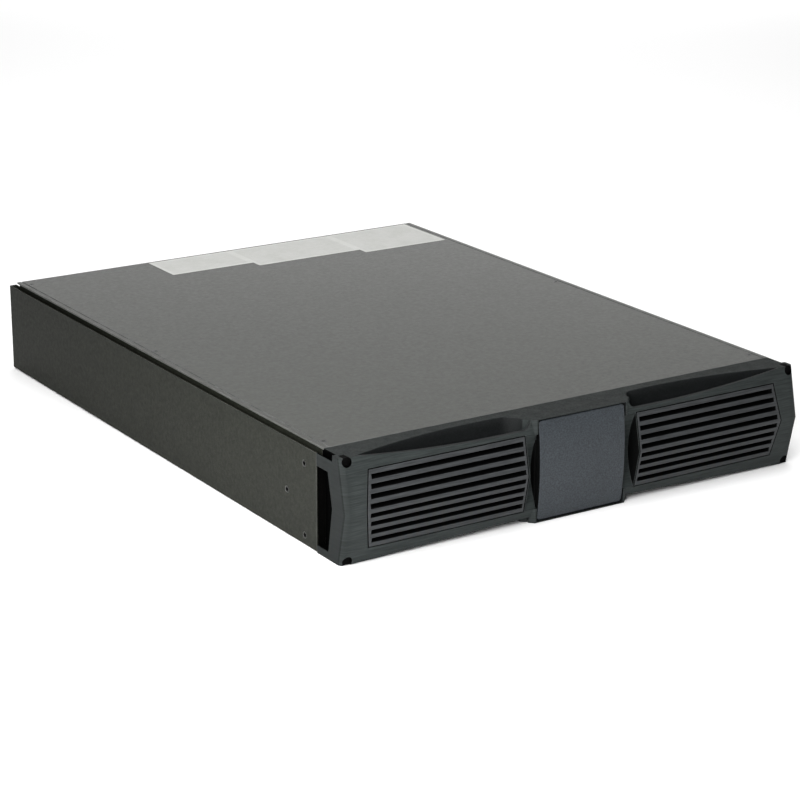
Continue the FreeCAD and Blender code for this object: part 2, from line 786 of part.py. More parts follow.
def cut_half(body, sign):
    """The hollow behind one louvred insert and the opening that the insert sits in."""
    ends = (mirrored("Size.grille_inner + Size.bezel_wall", sign), mirrored("Place.cheek", sign))
    chamber = [
        (f"Place.seam + {PAST}", "Size.bezel_wall"),
        ("Place.tub_back", "Size.bezel_wall"),
        ("Place.tub_back", "Place.tub_depth"),
        ("Place.insert_back", "Place.tub_depth"),
        ("Place.insert_back", "Size.height - Place.tub_depth"),
        ("Place.tub_back", "Size.height - Place.tub_depth"),
        ("Place.tub_back", "Size.height - Size.bezel_wall"),
        (f"Place.seam + {PAST}", "Size.height - Size.bezel_wall"),
    ]
    cutout(body, "YZ", sorted(ends, key=value), chamber)
    cutout(body, "XZ", (f"Place.front - {PAST}", "Place.insert_back"), grille_outline(sign))


def grille_outline(sign):
    """The opening for a louvred insert, pointed at its outer end."""
    low = "Size.grille_margin"
    high = "Size.height - Size.grille_margin"
    inner = mirrored("Size.grille_inner", sign)
    corner = mirrored("Place.grille_outer - Size.grille_taper", sign)
    point = mirrored("Place.grille_outer", sign)
    return [(inner, low), (corner, low), (point, "Place.middle"), (corner, high), (inner, high)]


def make_bezel():
    """Moulded front: ridged face, hollow back, centre block, scoops, notches and corner recesses."""
    body = new_body("bezel")
    profile = [
        ("Place.seam", "0"),
        ("Place.edge", "0"),
        ("Place.front", "Place.middle"),
        ("Place.edge", "Size.height"),
        ("Place.seam", "Size.height"),
    ]
    prism(body, "YZ", ("-Place.side", "Place.side"), profile)
    soften(body, "PartDesign::Fillet", "Radius", "Size.end_radius", lambda edge, ends: (
        len(ends) == 2 and near(abs(ends[0].x), "Place.side") and near(ends[0].x, str(ends[1].x))
        and max(end.y for end in ends) < value("Place.edge") + 0.001))
    block_plan = [
        ("-Size.block_half", "Place.block_front"),
        ("Size.block_half", "Place.block_front"),
        ("Size.block_half + Size.block_proud + Size.edge_setback", "Place.edge + Size.edge_setback"),
        ("-Size.block_half - Size.block_proud - Size.edge_setback", "Place.edge + Size.edge_setback"),
    ]
    prism(body, "XY", ("0", "Size.height"), block_plan)
    step = rectangle(
        ("Place.cover_front", "Place.rail_top"), (f"Place.seam + {PAST}", f"Size.height + {PAST}"))
    cutout(body, "YZ", (f"-Place.side - {PAST}", f"Place.side + {PAST}"), step)
    centre = rectangle(
        ("Place.block_back", "Size.bezel_wall"), (f"Place.seam + {PAST}", "Size.height - Size.bezel_wall"))
    half = "Size.scoop_inner - Size.bezel_wall"
    cutout(body, "YZ", (f"-({half})", half), centre)
    for sign in (-1, 1):
        cut_half(body, sign)
        cut_end(body, sign)
        for height in ("top", "bottom"):
            cut_scoop(body, sign, height)
    low = ("-Place.recess_half", "Size.panel_margin - Size.panel_gap")
    high = ("Place.recess_half", "Size.height - Size.panel_margin + Size.panel_gap")
    cutout(body, "XZ", (f"Place.front - {PAST}", "Place.panel_seat"), rectangle(low, high))
    pocket = [
        ("Place.front + Size.pocket_rim", "Place.middle + Size.pocket_half", "left", "Size.pocket_sweep"),
        ("Place.front + Size.pocket_rim", "Place.middle - Size.pocket_half"),
        (f"Place.front - {PAST}", "Place.middle - Size.pocket_half"),
        (f"Place.front - {PAST}", "Place.middle + Size.pocket_half"),
    ]
    for sign in (-1, 1):
        ends = (mirrored("Place.recess_half", sign), mirrored("Place.recess_half + Size.pocket_width", sign))
        cutout(body, "YZ", sorted(ends, key=value), pocket)
    recesses = []
    for sign in (-1, 1):
        for height in ("top", "bottom"):
            across = mirrored("Place.side - Size.corner_inset", sign)
            recesses.append((across, level(height, f"Size.corner_drop_{height}"), "Size.corner_recess"))
    cutout(body, "XZ", (f"Place.front - {PAST}", "Place.edge + Size.corner_depth"), circles=recesses)
    sockets = [(across, up, "Size.stud_radius + Size.stud_fit") for across, up in stud_places()]
    socket_floor = "Place.plate_front - Size.stud_length - Size.stud_base_height"
    cutout(body, "XZ", (socket_floor, "Place.seam"), circles=sockets)


def make_corner_plugs():
    """Rubber plugs pressed into the bezel's corner recesses."""
    plugs = []
    for sign in (-1, 1):
        for height in ("top", "bottom"):
            across = mirrored("Place.side - Size.corner_inset", sign)
            up = level(height, f"Size.corner_drop_{height}")
            seat = (across, "Place.edge + Size.corner_depth", up)
            length = "Size.corner_depth - Size.plug_sunk"
            plug = rod("-y", seat, length, "Size.corner_recess - Size.plug_fit")
            low = (f"{across} - 2 * Size.corner_recess", "Place.edge", "0")
            high = (f"{across} + 2 * Size.corner_recess", "Place.seam", "Size.height")
            common = doc.addObject("Part::Common", "Plug")
            common.Base = plug
            common.Tool = block(low, high)
            plugs.append(common)
    group("corner_plugs", plugs)


def make_grille(label, sign):
    """Louvred insert, flush with the ridged face of the bezel."""
    body = new_body(label)
    low = "Size.grille_margin + Size.insert_gap"
    high = "Size.height - Size.grille_margin - Size.insert_gap"
    profile = [
        ("Place.insert_back", low),
        (face_depth(low), low),
        ("Place.front", "Place.middle"),
        (face_depth(high), high),
        ("Place.insert_back", high),
    ]
    inner = mirrored("Size.grille_inner + Size.insert_gap", sign)
    outer = mirrored("Place.grille_outer - Size.insert_gap", sign)
    prism(body, "YZ", sorted((inner, outer), key=value), profile)
    taper_end = mirrored("Place.grille_outer - Size.insert_gap - Size.grille_taper", sign)
    outside = mirrored(f"Place.grille_outer + {PAST}", sign)
    through = (f"Place.front - {PAST}", f"Place.insert_back + {PAST}")
    for edge, past in ((low, f"{low} - {PAST}"), (high, f"{high} + {PAST}")):
        point = (outer, "Place.middle")
        corner = [(taper_end, edge), point, (outside, "Place.middle"), (outside, past), (taper_end, past)]
        cutout(body, "XZ", through, corner)
    slots = []
    count = int(value("Size.slot_count"))
    slope = "Place.slot_pitch * Size.grille_taper / (Place.middle - Size.grille_margin)"
    for row in range(count):
        rise = row - (count - 1) / 2
        centre = f"Place.middle + {rise} * Place.slot_pitch"
        start = "Size.grille_inner + Size.insert_gap + Size.slot_inner_margin"
        end = f"Place.grille_outer - Size.insert_gap - Size.slot_outer_margin - {abs(rise)} * {slope}"
        slots.append(rectangle(
            (mirrored(start, sign), f"{centre} - Size.slot_height / 2"),
            (mirrored(end, sign), f"{centre} + Size.slot_height / 2")))
    cutout(body, "XZ", through, *slots)


def make_centre_panel():
    """Square badge plate, slightly bowed, that pulls out of the centre block."""
    body = new_body("centre_panel")
    profile = [
        ("Place.panel_seat", "Size.panel_margin"),
        ("Place.front + Size.panel_edge", "Size.panel_margin", "left", "Size.panel_bow"),
        ("Place.front + Size.panel_edge", "Size.height - Size.panel_margin"),
        ("Place.panel_seat", "Size.height - Size.panel_margin"),
    ]
    prism(body, "YZ", ("-Size.panel_width / 2", "Size.panel_width / 2"), profile)
    soften(body, "PartDesign::Fillet", "Radius", "Size.panel_corner", lambda edge, ends: (
        len(ends) == 2 and abs(ends[0].y - ends[1].y) > 0.5 and near(ends[0].x, str(ends[1].x))
        and near(ends[0].z, str(ends[1].z))))


def make_labels():
    """Three blank paper labels in a row at the rear of the cover."""
    right = "Place.side - Size.label_right"
    for name in ("right", "middle", "left"):
        left = f"{right} - Size.label_{name}_width"
        back = "Place.cover_rear - Size.label_margin"
        low = (left, f"{back} - Size.label_{name}_depth", "Size.height")
        piece(block(low, (right, back, "Size.height + Size.label_sheet")), f"rear_label_{name}")
        right = left


def make_tray(label, sign):
    """Folded steel tray for six blocks, with a raised tab at its rear for the module connector."""
    body = new_body(label)
    centre = mirrored("Place.tray_centre", sign)
    low = (f"{centre} - Place.tray_half", "Place.tray_front")
    high = (f"{centre} + Place.tray_half", "Place.tray_rear")
    prism(body, "XY", ("Size.sheet", "Size.sheet + Size.tray_height"), rectangle(low, high))
    inner_low = (f"{low[0]} + Size.tray_sheet", "Place.tray_front + Size.tray_sheet")
    inner_high = (f"{high[0]} - Size.tray_sheet", "Place.tray_rear - Size.tray_sheet")
    depth = ("Place.tray_floor", f"Size.sheet + Size.tray_height + {PAST}")
    cutout(body, "XY", depth, rectangle(inner_low, inner_high))
    tab_top = "Place.tab_level + Size.plug_height / 2 + Size.tab_plate_margin"
    tab = rectangle(
        (f"{centre} - Size.tab_plate_width / 2", "Size.sheet"),
        (f"{centre} + Size.tab_plate_width / 2", tab_top))
    prism(body, "XZ", ("Place.tray_rear - Size.tray_sheet", "Place.tray_rear"), tab)
    window = rectangle(
        (f"{centre} - Size.window_width / 2", "Place.tab_level - Size.window_height / 2"),
        (f"{centre} + Size.window_width / 2", "Place.tab_level + Size.window_height / 2"))
    cutout(body, "XZ", ("Place.tray_rear - Size.tray_sheet", "Place.tray_rear"), window)


def make_tray_pulls():
    """A bar handle on the front wall of each tray."""
    pulls = []
    for sign in (-1, 1):
        centre = mirrored("Place.tray_centre", sign)
        left = f"{centre} - Size.pull_width / 2"
        right = f"{centre} + Size.pull_width / 2"
        reach = "Place.tray_front - Size.pull_reach"
        top = "Size.pull_height + Size.pull_bar"
        bar = block((left, reach, "Size.pull_height"), (right, f"{reach} + Size.pull_bar", top))
        legs = []
        for start in (left, f"{right} - Size.pull_bar"):
            end = (f"{start} + Size.pull_bar", "Place.tray_front", top)
            legs.append(block((start, reach, "Size.pull_height"), end))
        pulls.append(fused(bar, *legs))
    group("tray_pulls", pulls)


def cell_place(sign, column, row):
    """The middle of a block's underside: its module, its column in the module and its row from the front."""
    across = f"{mirrored('Place.tray_centre', sign)} + {column} * Place.cell_centre"
    along = f"Place.cell_start + {row} * Place.cell_step + Place.cell_length / 2"
    return across, along


def make_cell(label, sign, column, row):
    """Sealed block on its side, with its two tabs towards the middle of its module."""
    body = new_body(label)
    across, along = cell_place(sign, column, row)
    half_length = "Place.cell_length / 2"
    base = rectangle(("-Place.cell_width / 2", f"-{half_length}"), ("Place.cell_width / 2", half_length))
    prism(body, "XY", ("0", "Place.cell_height"), base)
    soften(body, "PartDesign::Fillet", "Radius", "Size.cell_edge", lambda edge, ends: (
        len(ends) == 2 and abs(ends[0].z - ends[1].z) > 1))
    tabs = []
    for end in (-1, 1):
        middle = mirrored("Place.tab_spread", end)
        tabs.append(rectangle(
            (f"{middle} - Size.tab_sheet / 2", "Place.tab_height - Size.tab_width / 2"),
            (f"{middle} + Size.tab_sheet / 2", "Place.tab_height + Size.tab_width / 2")))
    prism(body, "YZ", ("Place.cell_width / 2", "Place.cell_width / 2 + Size.tab_length"), *tabs)
    body.Placement = Placement(Vector(), Rotation(Vector(0, 0, 1), 0 if column < 0 else 180))
    place = (across, along, "Place.tray_floor")
    bind(body, {f"Placement.Base.{axis}": where for axis, where in zip("xyz", place)})


def terminal(sign, column, row, end):
    """A push-on terminal over one tab: its block, the slot for the tab and the middle of its free end."""
    across, along = cell_place(sign, column, row)
    inward = -column
    root = f"{across} + {inward} * (Place.cell_width / 2 + Size.terminal_standoff)"
    tip = f"{root} + {inward} * Size.terminal_length"
    middle = f"{along} + {end} * Place.tab_spread"
    low, high = sorted((root, tip), key=value)
    shell = block(
        (low, f"{middle} - Size.terminal_width / 2", "Place.tab_level - Size.terminal_height / 2"),
        (high, f"{middle} + Size.terminal_width / 2", "Place.tab_level + Size.terminal_height / 2"))
    tab_tip = f"{across} + {inward} * (Place.cell_width / 2 + Size.tab_length + Size.terminal_fit)"
    slot_low, slot_high = sorted((root, tab_tip), key=value)
    half = "Size.tab_sheet / 2 + Size.terminal_fit"
    tall = "Size.tab_width / 2 + Size.terminal_fit"
    slot = block(
        (slot_low, f"{middle} - ({half})", f"Place.tab_level - ({tall})"),
        (slot_high, f"{middle} + ({half})", f"Place.tab_level + ({tall})"))
    return shell, slot, (f"{tip} - {inward} * Size.lead_radius", middle, "Place.tab_level")


def make_jumpers(label, sign):
    """Short leads that join the six blocks of a module in series."""
    jumpers = []
    rows = int(value("Size.cell_rows"))
    for column in (-1, 1):
        for row in range(rows - 1):
            shell, slot, start = terminal(sign, column, row, 1)
            next_shell, next_slot, end = terminal(sign, column, row + 1, -1)
            lead = rod("y", start, f"({end[1]}) - ({start[1]})", "Size.lead_radius")
            jumpers.append(without(fused(shell, next_shell, lead), fused_slots(slot, next_slot)))
    left_shell, left_slot, left_end = terminal(sign, -1, 0, -1)
    right_shell, right_slot, right_end = terminal(sign, 1, 0, -1)
    bridge = rod("x", left_end, f"({right_end[0]}) - ({left_end[0]})", "Size.lead_radius")
    jumpers.append(without(fused(left_shell, right_shell, bridge), fused_slots(left_slot, right_slot)))
    group(label, jumpers)


def fused_slots(first, second):
    """Two tab slots as one cutting shape."""
    both = doc.addObject("Part::Compound", "Slots")
    both.Links = [first, second]
    return both


def make_module_leads(label, sign):
    """Leads from the last two blocks of a module to its connector."""
    leads = []
    last = int(value("Size.cell_rows")) - 1
    for column in (-1, 1):
        shell, slot, start = terminal(sign, column, last, 1)
        lead = rod("y", start, f"Place.tray_rear - ({start[1]})", "Size.lead_radius")
        leads.append(without(fused(shell, lead), slot))
    group(label, leads)


def make_plugs(side, sign):
    """The two mated halves of a module connector: one on the tray's tab, one on the harness."""
    centre = mirrored("Place.tray_centre", sign)
    low = "Place.tab_level - Size.plug_height / 2"
    high = "Place.tab_level + Size.plug_height / 2"
    left = f"{centre} - Size.plug_width / 2"
    right = f"{centre} + Size.plug_width / 2"
    piece(block((left, "Place.tray_rear", low), (right, "Place.plug_rear", high)), f"{side}_module_plug")
    piece(block((left, "Place.plug_rear", low), (right, "Place.socket_rear", high)), f"{side}_harness_plug")


def swept_lead(points, bend):
    """A round lead along two straight runs with one bend between them."""
    start, corner, end = points
    into = (corner - start).normalize()
    away = (end - corner).normalize()
    first = corner - into * bend
    last = corner + away * bend
    centre = first + away * bend
    top = centre + (corner - centre).normalize() * bend
    edges = [
        Part.LineSegment(start, first).toShape(),
        Part.Arc(first, top, last).toShape(),
        Part.LineSegment(last, end).toShape(),
    ]
    ring = Part.Wire([Part.Circle(start, into, value("Size.lead_radius")).toShape()])
    return Part.Wire(edges).makePipeShell([ring], True, True)


def make_harness_leads(label, sign):
    """Two leads from a module connector round to the side of the breaker."""
    shapes = []
    breaker_side = sign * value("Size.breaker_width / 2")
    height = value("Place.tab_level")
    for order, spread in enumerate((-1, 1)):
        across = sign * (value("Place.tray_centre") + spread * value("Size.lead_spread"))
        turn = value("Size.inner_turn") + order * value("Size.lead_step")
        back = value("Place.socket_rear") + turn
        points = [
            Vector(across, value("Place.socket_rear"), height),
            Vector(across, back, height),
            Vector(breaker_side, back, height),
        ]
        shapes.append(swept_lead(points, turn - value("Size.lead_radius") / 2))
    leads = doc.addObject("Part::Feature", "Leads")
    leads.Shape = Part.makeCompound(shapes)
    leads.Placement = Placement()
    piece(leads, label)


def make_foam_strips():
    """Foam strips pressed between the blocks and the cover, one over each row."""
    strips = []
    for row in range(int(value("Size.cell_rows"))):
        along = cell_place(-1, -1, row)[1]
        low = ("Size.foam_inset - Place.side", f"{along} - Size.foam_width / 2", "Place.cell_top")
        high = ("Place.side - Size.foam_inset", f"{along} + Size.foam_width / 2", "Place.rail_top")
        strips.append(block(low, high))
    group("foam_strips", strips)


def make_breaker():
    """Circuit breaker behind the rear panel, its pivot pin and its rocking lever."""
    body = new_body("breaker_body")
    low = ("-Size.breaker_width / 2", "Place.middle - Size.breaker_height / 2")
    high = ("Size.breaker_width / 2", "Place.middle + Size.breaker_height / 2")
    prism(body, "XZ", ("Place.panel_inner - Size.breaker_depth", "Place.panel_inner"), rectangle(low, high))
    half = "Size.lever_width / 2 + Size.lever_gap"
    well = rectangle(
        (f"-({half})", "Place.middle - Size.lever_well"), (half, "Place.middle + Size.lever_well"))
    cutout(body, "XZ", ("Place.panel_inner - Size.lever_well_depth", "Place.panel_inner"), well)
    bore = ("Place.pivot", "Place.middle", "Size.pivot_radius")
    cutout(body, "YZ", ("-Size.breaker_width / 2", "Size.breaker_width / 2"), circles=[bore])
    start = ("-Size.breaker_width / 2", "Place.pivot", "Place.middle")
    piece(rod("x", start, "Size.breaker_width", "Size.pivot_radius"), "breaker_pin")
    lever = new_body("breaker_lever")
    thickness = ("-Size.lever_width / 2", "Size.lever_width / 2")
    prism(lever, "YZ", thickness, circles=[("0", "0", "Size.lever_hub")])
    handle = [
        ("0", "-Size.lever_root"),
        ("Size.lever_reach", "-Size.lever_tip"),
        ("Size.lever_reach", "Size.lever_tip"),
        ("0", "Size.lever_root"),
    ]
    prism(lever, "YZ", thickness, handle)
    cutout(lever, "YZ", thickness, circles=[("0", "0", "Size.pivot_radius + Size.pivot_fit")])
    lever.Placement = Placement(Vector(), Rotation(Vector(-1, 0, 0), 1))
    bind(lever, {
        "Placement.Base.y": "Place.pivot",
        "Placement.Base.z": "Place.middle",
        "Placement.Rotation.Angle": "Size.lever_throw / 2",
    })


def make_ports():
    """Two direct current connectors in the rear panel, each with two open cells and a blade in each cell."""
    blades = []
    for name, sign in (("input", -1), ("output", 1)):
        body = new_body(f"{name}_connector")
        centre = mirrored("Size.port_spacing", sign)
        low = (f"{centre} - Size.port_width / 2", "Place.port_level - Size.port_height / 2")
        high = (f"{centre} + Size.port_width / 2", "Place.port_level + Size.port_height / 2")
        inner = "Place.panel_outer - Size.port_inside"
        outer = "Place.panel_outer + Size.port_outside"
        prism(body, "XZ", (inner, outer), rectangle(low, high))
        floor = f"{inner} + Size.port_floor"
        cells = []
        for side in (-1, 1):
            near_wall = f"{centre} + {side} * Size.port_wall / 2"
            far_wall = f"{centre} + {side} * (Size.port_width / 2 - Size.port_wall)"
            cells.append(rectangle(
                (near_wall, f"{low[1]} + Size.port_wall"), (far_wall, f"{high[1]} - Size.port_wall")))
            middle = f"{centre} + {side} * (Size.port_width / 4 - Size.port_wall / 4)"
            blade_low = (f"{middle} - Size.blade_width / 2", floor, "Place.port_level - Size.blade_sheet / 2")
            blade_high = (
                f"{middle} + Size.blade_width / 2", f"{floor} + Size.blade_length",
                "Place.port_level + Size.blade_sheet / 2")
            blades.append(block(blade_low, blade_high))
        cutout(body, "XZ", (floor, f"{outer} + {PAST}"), *cells)
    group("connector_blades", blades)


def make_output_leads():
    """Short leads from the breaker to both connectors."""
    leads = []
    along = "Place.panel_inner - Size.lead_radius - Size.sheet"
    reach = "Size.port_spacing - Size.port_width / 2 - Size.breaker_width / 2"
    for sign in (-1, 1):
        start = "Size.breaker_width / 2" if sign > 0 else "Size.port_width / 2 - Size.port_spacing"
        for side in (-1, 1):
            level_of = f"Place.port_level + {side} * Size.port_height / 4"
            leads.append(rod("x", (start, along, level_of), reach, "Size.lead_radius"))
    group("output_leads", leads)


def make_ground_stud():
    """Ground stud of the case with its nut, in the rear panel."""
    across = "Place.side - Size.ground_inset + Size.sheet"
    inner = (across, "Place.panel_inner", "Size.ground_height")
    stud = rod("y", inner, "Size.ground_length", "Size.ground_radius")
    head = rod("-y", inner, "Size.ground_nut_height", "Size.ground_nut")
    piece(fused(stud, head), "ground_stud")
    nut = doc.addObject("Part::Prism", "Nut")
    nut.Polygon = 6
    nut.Placement = Placement(Vector(), TURNS["y"])
    bind(nut, {"Circumradius": "Size.ground_nut", "Height": "Size.ground_nut_height"})
    bind(nut, {"Placement.Base.x": across, "Placement.Base.y": "Place.panel_outer"})
    bind(nut, {"Placement.Base.z": "Size.ground_height"})
    bore = rod("y", (across, "Place.panel_outer", "Size.ground_height"), "Size.ground_nut_height",
               "Size.ground_radius + Size.screw_fit")
    piece(without(nut, bore), "ground_nut")


def check_document():
    """Stop unless every object was worked out, every cut removed something and every piece is sound."""
    for item in doc.Objects:
        if "Invalid" in item.State or "Error" in item.State:
            raise RuntimeError(f"{item.Name} ({item.Label}) failed: {item.State}")
        if item.TypeId == "PartDesign::Pocket":
            removed = item.BaseFeature.Shape.Volume - item.Shape.Volume
            if removed < 0.01:
                raise RuntimeError(f"{item.Name} cuts nothing")
    for item in pieces:
        if item.Shape.isNull() or not item.Shape.isValid() or not item.Shape.Solids:
            raise RuntimeError(f"{item.Label} is not a sound solid")


make_chassis()
make_ear_nuts()
make_cover()
make_cover_screws()
make_front_plate()
make_foot_screws("front_plate_screws", "front")
make_bezel_studs()
make_rear_panel()
make_foot_screws("rear_panel_screws", "rear")
make_bezel()
make_corner_plugs()
make_centre_panel()
make_labels()
make_tray_pulls()
make_foam_strips()
make_breaker()
make_ports()
make_output_leads()
make_ground_stud()
for side, sign in (("left", -1), ("right", 1)):
    make_grille(f"{side}_grille", sign)
    make_tray(f"{side}_battery_tray", sign)
    make_jumpers(f"{side}_jumpers", sign)
    make_module_leads(f"{side}_module_leads", sign)
    make_plugs(side, sign)
    make_harness_leads(f"{side}_harness_leads", sign)
    for row in range(int(value("Size.cell_rows"))):
        for column, name in ((sign, "outer"), (-sign, "inner")):
            make_cell(f"{side}_block_{name}_{row + 1}", sign, column, row)

doc.recompute()
check_document()
os.makedirs("parts", exist_ok=True)
for item in pieces:
    item.Shape.exportStep(f"parts/{item.Label}.step")
print(len(pieces), "sub-parts written")
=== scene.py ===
import bpy
import math
from mathutils import Matrix, Vector


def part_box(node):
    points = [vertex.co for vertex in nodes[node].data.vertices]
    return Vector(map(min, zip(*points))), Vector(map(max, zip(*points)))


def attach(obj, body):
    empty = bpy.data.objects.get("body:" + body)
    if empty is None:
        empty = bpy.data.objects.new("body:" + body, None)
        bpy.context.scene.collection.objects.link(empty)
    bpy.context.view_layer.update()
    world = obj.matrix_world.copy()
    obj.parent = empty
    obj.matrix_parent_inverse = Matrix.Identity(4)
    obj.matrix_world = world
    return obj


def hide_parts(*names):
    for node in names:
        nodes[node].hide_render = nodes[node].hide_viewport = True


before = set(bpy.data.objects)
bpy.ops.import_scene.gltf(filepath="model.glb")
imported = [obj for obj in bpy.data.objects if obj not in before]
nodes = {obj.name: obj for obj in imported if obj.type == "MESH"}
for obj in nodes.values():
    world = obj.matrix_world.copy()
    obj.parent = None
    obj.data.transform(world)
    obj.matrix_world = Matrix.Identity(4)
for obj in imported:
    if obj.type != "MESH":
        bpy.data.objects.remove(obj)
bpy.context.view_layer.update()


# Chassis: the floor and both side walls of the case, folded from one steel sheet and stepped in along
# the top to carry the cover. It is powder coated black, and the coat is rubbed paler on the folds.
def select_only(*pieces):
    """Select these pieces and nothing else, with the first one active."""
    bpy.ops.object.select_all(action="DESELECT")
    for piece in pieces:
        piece.select_set(True)
    bpy.context.view_layer.objects.active = pieces[0]


weld_gap = 0.000005
flat_angle = math.radians(0.5)
crease_angle = math.radians(30.0)


def whole_copy(node, name, *finishes, whole_faces=True):
    """A copy of one solid in its finishes, its loose triangles joined and its flat faces whole if asked."""
    piece = bpy.data.objects.new(name, nodes[node].data.copy())
    bpy.context.scene.collection.objects.link(piece)
    piece.data.materials.clear()
    select_only(piece)
    bpy.ops.mesh.customdata_custom_splitnormals_clear()
    bpy.ops.object.mode_set(mode="EDIT")
    bpy.ops.mesh.select_all(action="SELECT")
    bpy.ops.mesh.remove_doubles(threshold=weld_gap)
    if whole_faces:
        bpy.ops.mesh.dissolve_limited(angle_limit=flat_angle)
    bpy.ops.object.mode_set(mode="OBJECT")
    bpy.ops.object.shade_smooth_by_angle(angle=crease_angle)
    for finish in finishes:
        piece.data.materials.append(finish)
    return piece


thin_share = 0.15


def round_edges(piece, width, segments=2, strip=-1, thin=None):
    """Round the sharp edges of a piece, less where it is thin. The strips may take a finish of their own."""
    shares = piece.data.attributes.new("bevel_weight_edge", "FLOAT", "EDGE")
    for edge in piece.data.edges:
        start, end = (piece.data.vertices[number].co for number in edge.vertices)
        share = thin_share if thin and (thin(start) or thin(end)) else 1.0
        shares.data[edge.index].value = share if edge.use_edge_sharp else 0.0
    select_only(piece)
    bpy.ops.object.modifier_add(type="BEVEL")
    rounding = piece.modifiers[-1]
    rounding.width = width
    rounding.segments = segments
    rounding.limit_method = "WEIGHT"
    rounding.use_clamp_overlap = False
    rounding.material = strip
    bpy.ops.object.modifier_apply(modifier=rounding.name)
    bpy.ops.object.modifier_add(type="WEIGHTED_NORMAL")
    evening = piece.modifiers[-1]
    evening.keep_sharp = True
    bpy.ops.object.modifier_apply(modifier=evening.name)


def new_finish(name):
    """A new finish, its shader, and the place of each point of the surface in metres."""
    finish = bpy.data.materials.new(name)
    finish.use_nodes = True
    place = finish.node_tree.nodes.new("ShaderNodeTexCoord").outputs["Object"]
    return finish, finish.node_tree.nodes["Principled BSDF"], place


def cloud(finish, place, scale, detail=3.0, stretch=(1.0, 1.0, 1.0)):
    """Soft noise with about one patch in each 1/scale metre, drawn out by stretch."""
    parts = finish.node_tree
    mapping = parts.nodes.new("ShaderNodeMapping")
    mapping.inputs["Scale"].default_value = stretch
    noise = parts.nodes.new("ShaderNodeTexNoise")
    noise.inputs["Scale"].default_value = scale
    noise.inputs["Detail"].default_value = detail
    parts.links.new(place, mapping.inputs["Vector"])
    parts.links.new(mapping.outputs["Vector"], noise.inputs["Vector"])
    return noise.outputs["Fac"]


def shades(finish, value, low_stop, high_stop):
    """Two colours laid along a value, each at its own place."""
    ramp = finish.node_tree.nodes.new("ShaderNodeValToRGB")
    for stop, (position, colour) in zip(ramp.color_ramp.elements, (low_stop, high_stop)):
        stop.position = position
        stop.color = (*colour, 1.0)
    finish.node_tree.links.new(value, ramp.inputs["Fac"])
    return ramp.outputs["Color"]


def overlaid(finish, under, over):
    """One colour darkened by the shades laid over it."""
    mix = finish.node_tree.nodes.new("ShaderNodeMix")
    mix.data_type = "RGBA"
    mix.blend_type = "MULTIPLY"
    mix.inputs[0].default_value = 1.0
    finish.node_tree.links.new(under, mix.inputs[6])
    finish.node_tree.links.new(over, mix.inputs[7])
    return mix.outputs[2]


cloud_low = 0.3
cloud_high = 0.7


def spread(finish, value, low, high):
    """A cloud's values spread between two numbers."""
    span = finish.node_tree.nodes.new("ShaderNodeMapRange")
    span.inputs["From Min"].default_value = cloud_low
    span.inputs["From Max"].default_value = cloud_high
    span.inputs["To Min"].default_value = low
    span.inputs["To Max"].default_value = high
    finish.node_tree.links.new(value, span.inputs["Value"])
    return span.outputs["Result"]


def dress(finish, shader, colour, roughness, height, depth):
    """Lead a colour, a roughness and a relief of some depth in metres to the shader."""
    bump = finish.node_tree.nodes.new("ShaderNodeBump")
    bump.inputs["Distance"].default_value = depth
    finish.node_tree.links.new(colour, shader.inputs["Base Color"])
    finish.node_tree.links.new(roughness, shader.inputs["Roughness"])
    finish.node_tree.links.new(height, bump.inputs["Height"])
    finish.node_tree.links.new(bump.outputs["Normal"], shader.inputs["Normal"])


def powder_coat(name, dark, light, rough, gloss):
    """Textured powder coating: a fine pebbled skin, cloudy shades and a satin sheen that varies."""
    finish, shader, place = new_finish(name)
    skin = cloud(finish, place, 1000.0, 3.0)
    tone = shades(finish, skin, (0.34, dark), (0.66, light))
    drift = shades(finish, cloud(finish, place, 8.0, 4.0),
                   (0.3, (0.9, 0.9, 0.91)), (0.7, (1.0, 1.0, 1.0)))
    speckle = shades(finish, cloud(finish, place, 330.0, 2.0),
                     (0.36, (0.64, 0.64, 0.64)), (0.64, (1.0, 1.0, 1.0)))
    colour = overlaid(finish, overlaid(finish, tone, drift), speckle)
    shader.inputs["Specular IOR Level"].default_value = gloss
    shader.inputs["Specular Tint"].default_value = (1.0, 1.0, 0.92, 1.0)
    sheen = spread(finish, cloud(finish, place, 300.0), rough - 0.04, rough + 0.04)
    dress(finish, shader, colour, sheen, skin, 0.00006)
    return finish


def rubbed_edge(name, coat, metal):
    """A coated edge that handling has rubbed thin in patches."""
    finish, shader, place = new_finish(name)
    patches = cloud(finish, place, 70.0, 5.0)
    colour = shades(finish, patches, (0.45, coat), (0.62, metal))
    dress(finish, shader, colour, spread(finish, patches, 0.5, 0.34), cloud(finish, place, 900.0), 0.00003)
    return finish


def fit(piece, slot, *replaced, body="case"):
    """Fix a finished piece to its body, in place of the solids that it stands for."""
    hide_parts(*replaced)
    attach(piece, body)


case_coat = powder_coat("case_powder_coat", (0.0086, 0.0094, 0.007), (0.0165, 0.018, 0.0136), 0.5, 0.06)
case_edge = rubbed_edge("case_rubbed_edge", (0.014, 0.015, 0.012), (0.04, 0.041, 0.036))
chassis = whole_copy("chassis", "case_chassis", case_coat, case_edge)
round_edges(chassis, 0.00022, strip=1)
fit(chassis, "case_paint", "chassis")

# Ear nuts: six clinch nuts pressed into the side walls from inside, which take the screws of the rack
# ears. They are turned from steel and blackened, and only their rims show.


